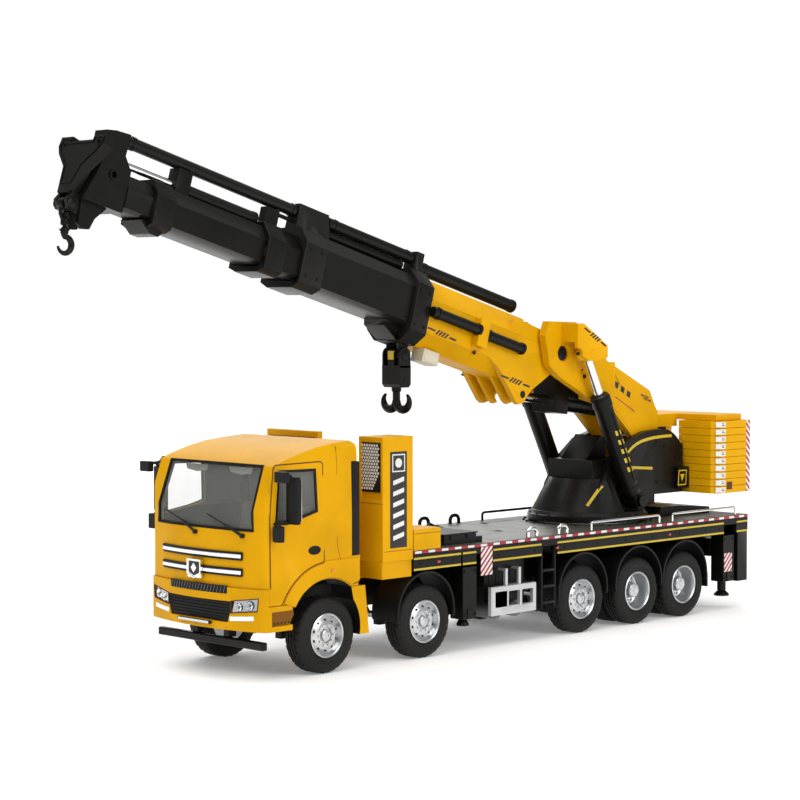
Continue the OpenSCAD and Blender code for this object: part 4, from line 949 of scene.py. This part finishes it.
def cylinders():
    """The lifting and elbow cylinders, with gland rings, oil pipes and dashes on the lifting pair."""
    dress("lift_barrels", black, 0.3)
    dress("lift_rods", chrome, 0.1)
    dress("elbow_barrel", black, 0.35)
    dress("elbow_rod", chrome, 0.1)
    foot, head = Vector((0, 30, 39)), Vector((0, 5, 87.8))
    barrel_x, barrel_r = 15.4, 3.04
    lean = (head - foot).normalized()
    across = Vector((0, -lean.z, lean.y))

    def spot(x, t):
        """A point t mm up the cylinder's axis, x out from the middle of the truck."""
        return Vector((x, foot.y + lean.y * t, foot.z + lean.z * t))
    glands, dashes, lines = Shape(), Shape(), Shape()
    for _ in both(glands, dashes, lines):
        for t, r, h in ((4.2, 3.25, 1.6), (35.6, 3.3, 3.2), (38.6, 2.9, 1.0)):
            glands.tube([spot(barrel_x, t), spot(barrel_x, t + h)], r, 32)
        lines.tube([spot(18.1, 7), spot(18.4, 9), spot(18.4, 33), spot(17.6, 35)], 0.42, 10)
        for k in range(5):
            base = spot(0, 11 + 3.4 * k)
            grid = []
            for j in range(7):
                off = 1.3 * (j / 3 - 1)
                for t in (0.8 * j / 6, 1.7 + 0.8 * j / 6):
                    p = base + lean * t + across * off
                    grid.append((barrel_x + math.sqrt(barrel_r ** 2 - off * off), p.y, p.z))
            dashes.faces(grid, [(2 * j, 2 * j + 1, 2 * j + 3, 2 * j + 2) for j in range(6)])
    glands.done("lift_gland_rings", black, 0.15, "lift_barrels")
    lines.done("lift_oil_pipes", plastic, body="lift_barrels")
    dashes.done("lift_barrel_dashes", lime, body="lift_barrels")


def thrust_rod(face):
    """Whether a face belongs to the bright rod under the last section's crown."""
    middle = BOOM.inverted() @ face.calc_center_median()
    return math.hypot(middle.x, middle.z - 6.6) < 1.15 and -176 < middle.y < -130


def boom():
    """The outer boom and its sections. Here y runs back along the boom and z out from its top face."""
    dress("boom_base", yellow, 0.4)
    dress("boom_sleeve", black, 0.35, long_round=(6, 1.3))
    dress("boom_tubes", black, 0.3)
    dress("boom_section_2", black, 0.3, long_round=(6, 1))
    dress("boom_section_3", black, 0.3, long_round=(6, 0.9))
    dress("boom_section_4", black, 0.4, chrome, thrust_rod)
    marks, bolts, caps, welds = Shape(BOOM), Shape(BOOM), Shape(BOOM), Shape(BOOM)
    for _ in both(marks, bolts, caps, welds):
        ticks(marks, (-58.6, -7.3), (-45.6, -8.0), 8.64)
        ticks(marks, (-22.9, -13.2), (-9, -13.4), 8.64)
        welds.band([(8.6, -58.8, 1.3), (8.6, -9.4, 1.3)], 0.4, (1, 0, 0), 0.14)
        welds.band([(8.6, -58.8, -9), (8.6, -30, -9), (8.6, -24, -11.4)], 0.4, (1, 0, 0), 0.14)
        caps.lathe(bolt(2.4, 0.5, 1.8, 0.7), (8.6, 0, 0), "x", 36)
        caps.lathe(disc(0.7, 0.2), (8.6, -36.8, -9.4), "x", 20)
        # ends and collars of the side cylinders
        for y, z in ((-39.2, -2.6), (-57.8, -2.6), (-18.4, -3.2), (-34.4, -3.2)):
            bolts.lathe(collar(1.95, 0.35, 1), (10.3, y, z), "y", 32)
        for y, z in ((-61, -8), (-65, -8), (-61, 2.6), (-65, 2.6)):
            bolts.lathe(bolt(0.5, 0.3, 0.36, 0.42), (9.5, y, z), "x", 6)
        for y, z in ((-106, -6), (-110.6, -6), (-106, 2), (-110.6, 2)):
            bolts.lathe(bolt(0.45, 0.28, 0.32, 0.38), (8.5, y, z), "x", 6)
    # rings where the crown tubes are clamped
    for y, z, r in ((-16, 11.4, 2.15), (-57.6, 11.4, 2.15), (-66, 13.3, 2.05), (-97, 13.3, 2.05)):
        bolts.lathe(collar(r, 0.3, 1.1), (0, y, z), "y", 36)
    marks.done("boom_dashes", ink_and_hole_shade, body="boom")
    bolts.done("boom_clamps", black, 0.06, "boom")
    caps.done("boom_pin_caps", plastic, body="boom", slot="steel")
    welds.done("boom_welds", yellow, 0.08, "boom")
    sensor, lid = Shape(BOOM), Shape(BOOM)
    sensor.box((1.35, 6.65), (-56.2, -49.3), (-17.2, -13.1))
    lid.box((6.6, 6.85), (-55.6, -49.9), (-16.7, -13.7))
    for y in (-55, -50.5):
        for z in (-16.2, -14.2):
            lid.lathe(disc(0.28, 0.16), (6.8, y, z), "x", 12)
    sensor.done("angle_sensor_box", beige, 0.35, "boom")
    lid.done("angle_sensor_lid", beige, 0.08, "boom")
    # wear pads in the mouths of sections 2 and 3, and rings on the moving tubes
    for number, y, half, top, low in ((2, -125.9, 5.6, 4.2, -6.8), (3, -166.8, 4.8, 3.4, -6.2)):
        pad = Shape(BOOM)
        for _ in both(pad):
            pad.box((half + 0.6, half + 1.6), (y - 0.35, y + 0.2), (low + 2, low + 5))
        for k in (-1, 0, 1):
            pad.lathe(bolt(0.4, 0.3, 0.28, 0.4), (k * 2.6, y + 3.2, top + 1.55), "z", 6)
        pad.done(f"wear_pads_{number}", plastic, 0.06, f"boom_{number}")
    rings = Shape(BOOM)
    for y, z, r in ((-114.4, 12.9, 2.0), (-174.6, 12.9, 2.0), (-128, 6.2, 2.05)):
        rings.lathe(collar(r, 0.3, 1.2), (0, y, z), "y", 36)
    rings.done("moving_tube_rings", black, 0.06, "boom_3")
    boom_head()


def boom_head():
    """Bolts and rims on the head, and the pressed rim round its broad front plate."""
    head = Shape(BOOM)
    for _ in both(head):
        for y, z in ((-190.6, 8.2), (-190.2, 5.2)):
            head.lathe(disc(0.5, 0.35), (7.6, y, z), "y", 6, -1)
        head.lathe(bolt(1.3, 0.4, 0.9, 0.55), (2.9, -191.2, -9.4), "x", 28)
        head.lathe([(0.9, 0), (1.4, 0), (1.4, 0.35), (0.9, 0.35)], (5.2, -181.5, 1.5), "x", 28)
        head.lathe([(0.55, 0), (1.05, 0), (1.05, 0.3), (0.55, 0.3)], (8.2, -190.1, 7.2), "y", 24, -1)
    lean = math.radians(79.5)
    half = [(-2.2, 2.9), (-3.5, 8.3), (-7.9, 12.4), (-9.1, 14.6), (-9.1, 16.3), (-5.2, 16.3), (-5.2, 14.9)]
    along, front = Vector((0, math.cos(lean), math.sin(lean))), Vector((0, -math.sin(lean), math.cos(lean)))
    corner = Vector((0, -189.5, -7.4)) + front * 3.38
    rim = [Vector((x, 0, 0)) + corner + along * v for x, v in half + [(-x, v) for x, v in reversed(half)]]
    head.band(rim, 0.45, front, 0.3, closed=True)
    head.done("boom_head_fittings", black, 0.05, "boom_4")


def hooks():
    """The head hook hangs from a forked link; the twin hook hangs under the boom on its block."""
    c, s = math.cos(math.radians(BOOM_ANGLE)), math.sin(math.radians(BOOM_ANGLE))

    def pivot(y, z):
        return KNUCKLE[0] + y * c + z * s, KNUCKLE[1] - y * s + z * c
    y0, z0 = pivot(-191.2, -9.4)
    link = Shape()
    eye = [(0.85, -1.2), (1.75, -1.2), (1.85, -0.9), (1.85, 0.9), (1.75, 1.2), (0.85, 1.2), (0.85, -1.2)]
    link.lathe(eye, (0, y0, z0), "x", 32)
    for way in (1, -1):
        fork = ((1.2, -1.2), (1.35, -2.6), (0.7, -4.1), (0, -5))
        link.tube([(0, y0 + way * a, z0 + b) for a, b in fork], 0.5, 12)
    link.lathe(disc(0.62, 2.4), (-1.2, y0, z0 - 2.9), "x", 16)
    link.lathe([(0.6, -0.9), (1.05, -0.7), (1.1, 0), (1.05, 0.7), (0.6, 0.9)], (0, y0, z0 - 4.9), "z", 24)
    link.done("hook_link_look", black, body="hook_link", replaces=["hook_link"])
    hook = Shape()
    shank = ((0, -3.4), (0, -6), (0, -6.4), (0, -7.6), (0, -8.4), (0.25, -8.9))
    hook.tube([(0, y0 + a, z0 + b) for a, b in shank], 0.5, 14, taper=[0.5, 0.5, 0.95, 1.15, 0.85, 0.75])
    hook.tube([(0, y0 - 1.5, z0 - 6.9), (0, y0 + 1.5, z0 - 6.9)], 0.3, 10)
    sizes = [0.62 + 0.26 * math.sin(math.pi * min(1, (k + 3) / 22)) - 0.3 * max(0, (k - 18) / 6)
             for k in range(25)]
    hook.tube([(0, a, b) for a, b in arc((y0, z0 - 10.9), 2.2, 92, -173, 24)], 0.6, 14, taper=sizes)
    hook.done("hook_look", black, body="hook", replaces=["hook"])
    y1, z1 = pivot(-61, -16.6)
    block = Shape()
    for x, drop in (((-1.35, 1.35), 3.4), ((-3.8, -3.15), 4), ((3.15, 3.8), 4)):
        cheek = arc((y1, z1), 2.35, 0, 180, 12) + [(y1 - 2.35, z1 - drop), (y1 + 2.35, z1 - drop)]
        block.prism(cheek, "x", x)
    body = ((-2.45, 3.2), (2.45, 3.2), (2.45, 8.9), (1.6, 9.9), (-1.6, 9.9), (-2.45, 8.9))
    block.prism([(y1 + a, z1 - b) for a, b in body], "x", (-3.8, 3.8))
    stem = [(0, 0), (1.5, 0), (1.5, 1.2), (1.15, 1.5), (1.15, 5.6), (0, 5.6)]
    block.lathe(stem, (0, y1, z1 - 9.8), "z", 32, -1)
    for _ in both(block):
        block.lathe(bolt(1.5, 0.25, 1.1, 0.35), (3.75, y1, z1), "x", 32)
        block.lathe(disc(0.6, 0.2), (3.75, y1, z1 - 7.6), "x", 20)
    block.done("twin_hook_block_look", black, 0.45, "twin_hook", replaces=["twin_hook_block"])
    prongs = Shape()
    sizes = [1.3 - 0.9 * max(0, (k - 8) / 12) ** 1.5 for k in range(21)]
    turns = [math.radians(180 + 228 * k / 20) for k in range(21)]
    for _ in both(prongs):
        path = [(2.75 + 2.75 * math.cos(a), y1, z1 - 14 + 2.6 * math.sin(a)) for a in turns]
        prongs.tube(path, 1, 18, taper=sizes)
    prongs.done("twin_hook_prongs", black, body="twin_hook")
    sticker = Shape()
    sticker.box((-1.2, 1.2), (y1 - 2.5, y1 - 1.4), (z1 - 1.4, z1 + 1.2))
    sticker.done("twin_hook_label", lime, body="twin_hook")


# ---------------------------------------------------------------- stage, light and camera

FLOOR_SIZE = 12.0
# name, place in metres, power, size in metres and colour of the area lights
LAMPS = (("key", (0.35, -0.8, 0.7), 2.1, 0.6, (1, 0.92, 0.84)),
         ("side", (0.9, 0.05, 0.5), 3.6, 0.5, (1, 1, 1)),
         ("back", (-0.7, 0.6, 0.5), 2.4, 0.6, (1, 1, 1)))


def floor_and_light():
    scene = bpy.context.scene
    floor = bpy.data.meshes.new("floor")
    s = FLOOR_SIZE
    floor.from_pydata([(-s, -s, 0), (s, -s, 0), (s, s, 0), (-s, s, 0)], [], [(0, 1, 2, 3)])
    ground = bpy.data.objects.new("floor", floor)
    pale = material("pale_floor", "floor", (0.9, 0.9, 0.9), 0.75, 60, 0.004, 0.01, specular=0.1)
    shader = pale.node_tree.nodes["Principled BSDF"]
    shader.inputs["Emission Color"].default_value = (1, 1, 1, 1)
    shader.inputs["Emission Strength"].default_value = 0.17
    floor.materials.append(pale)
    scene.collection.objects.link(ground)
    # the room is seen as plain white and lights the truck more softly than that
    world = bpy.data.worlds.new("studio")
    world.use_nodes = True
    tree, link = world.node_tree, world.node_tree.links.new
    room = tree.nodes["Background"]
    room.inputs["Color"].default_value = (1, 1, 1, 1)
    room.inputs["Strength"].default_value = 0.36
    seen = add_node(tree, "Background", Color=(1, 1, 1, 1), Strength=1.05)
    ray = add_node(tree, "LightPath")
    mixed = add_node(tree, "MixShader")
    link(ray.outputs["Is Camera Ray"], mixed.inputs[0])
    link(room.outputs[0], mixed.inputs[1])
    link(seen.outputs[0], mixed.inputs[2])
    link(mixed.outputs[0], tree.nodes["World Output"].inputs["Surface"])
    scene.world = world
    scene.view_settings.view_transform = "Standard"
    # one broad overhead light that reaches the whole floor, and three softer ones round the truck
    sky = bpy.data.lights.new("overhead", "SUN")
    sky.energy = 2.0
    sky.angle = math.radians(75)
    overhead = bpy.data.objects.new("overhead", sky)
    overhead.rotation_euler = (math.radians(8), math.radians(-6), 0)
    scene.collection.objects.link(overhead)
    for name, at, energy, size, color in LAMPS:
        data = bpy.data.lights.new(name, "AREA")
        data.energy = energy
        data.size = size
        data.color = color
        light = bpy.data.objects.new(name, data)
        light.location = at
        light.rotation_euler = (Vector((0, 0, 0.05)) - Vector(at)).to_track_quat("-Z", "Y").to_euler()
        scene.collection.objects.link(light)


def camera():
    azimuth, elevation = math.radians(45.11), math.radians(1.98)
    flat = math.cos(elevation)
    back = Vector((math.sin(azimuth) * flat, -math.cos(azimuth) * flat, math.sin(elevation)))
    data = bpy.data.cameras.new("camera")
    data.sensor_width = 36
    data.lens = 100.4
    data.shift_y = -0.0259
    view = bpy.data.objects.new("camera", data)
    view.location = TRUCK @ Vector((480.46, -542.29, 104.36))
    view.rotation_euler = back.to_track_quat("Z", "Y").to_euler()
    bpy.context.scene.collection.objects.link(view)
    bpy.context.scene.camera = view


wheels_and_tyres()
cab()
chassis()
boxes()
crane_base()
counterweight()
inner_arm()
cylinders()
boom()
hooks()
floor_and_light()
camera()
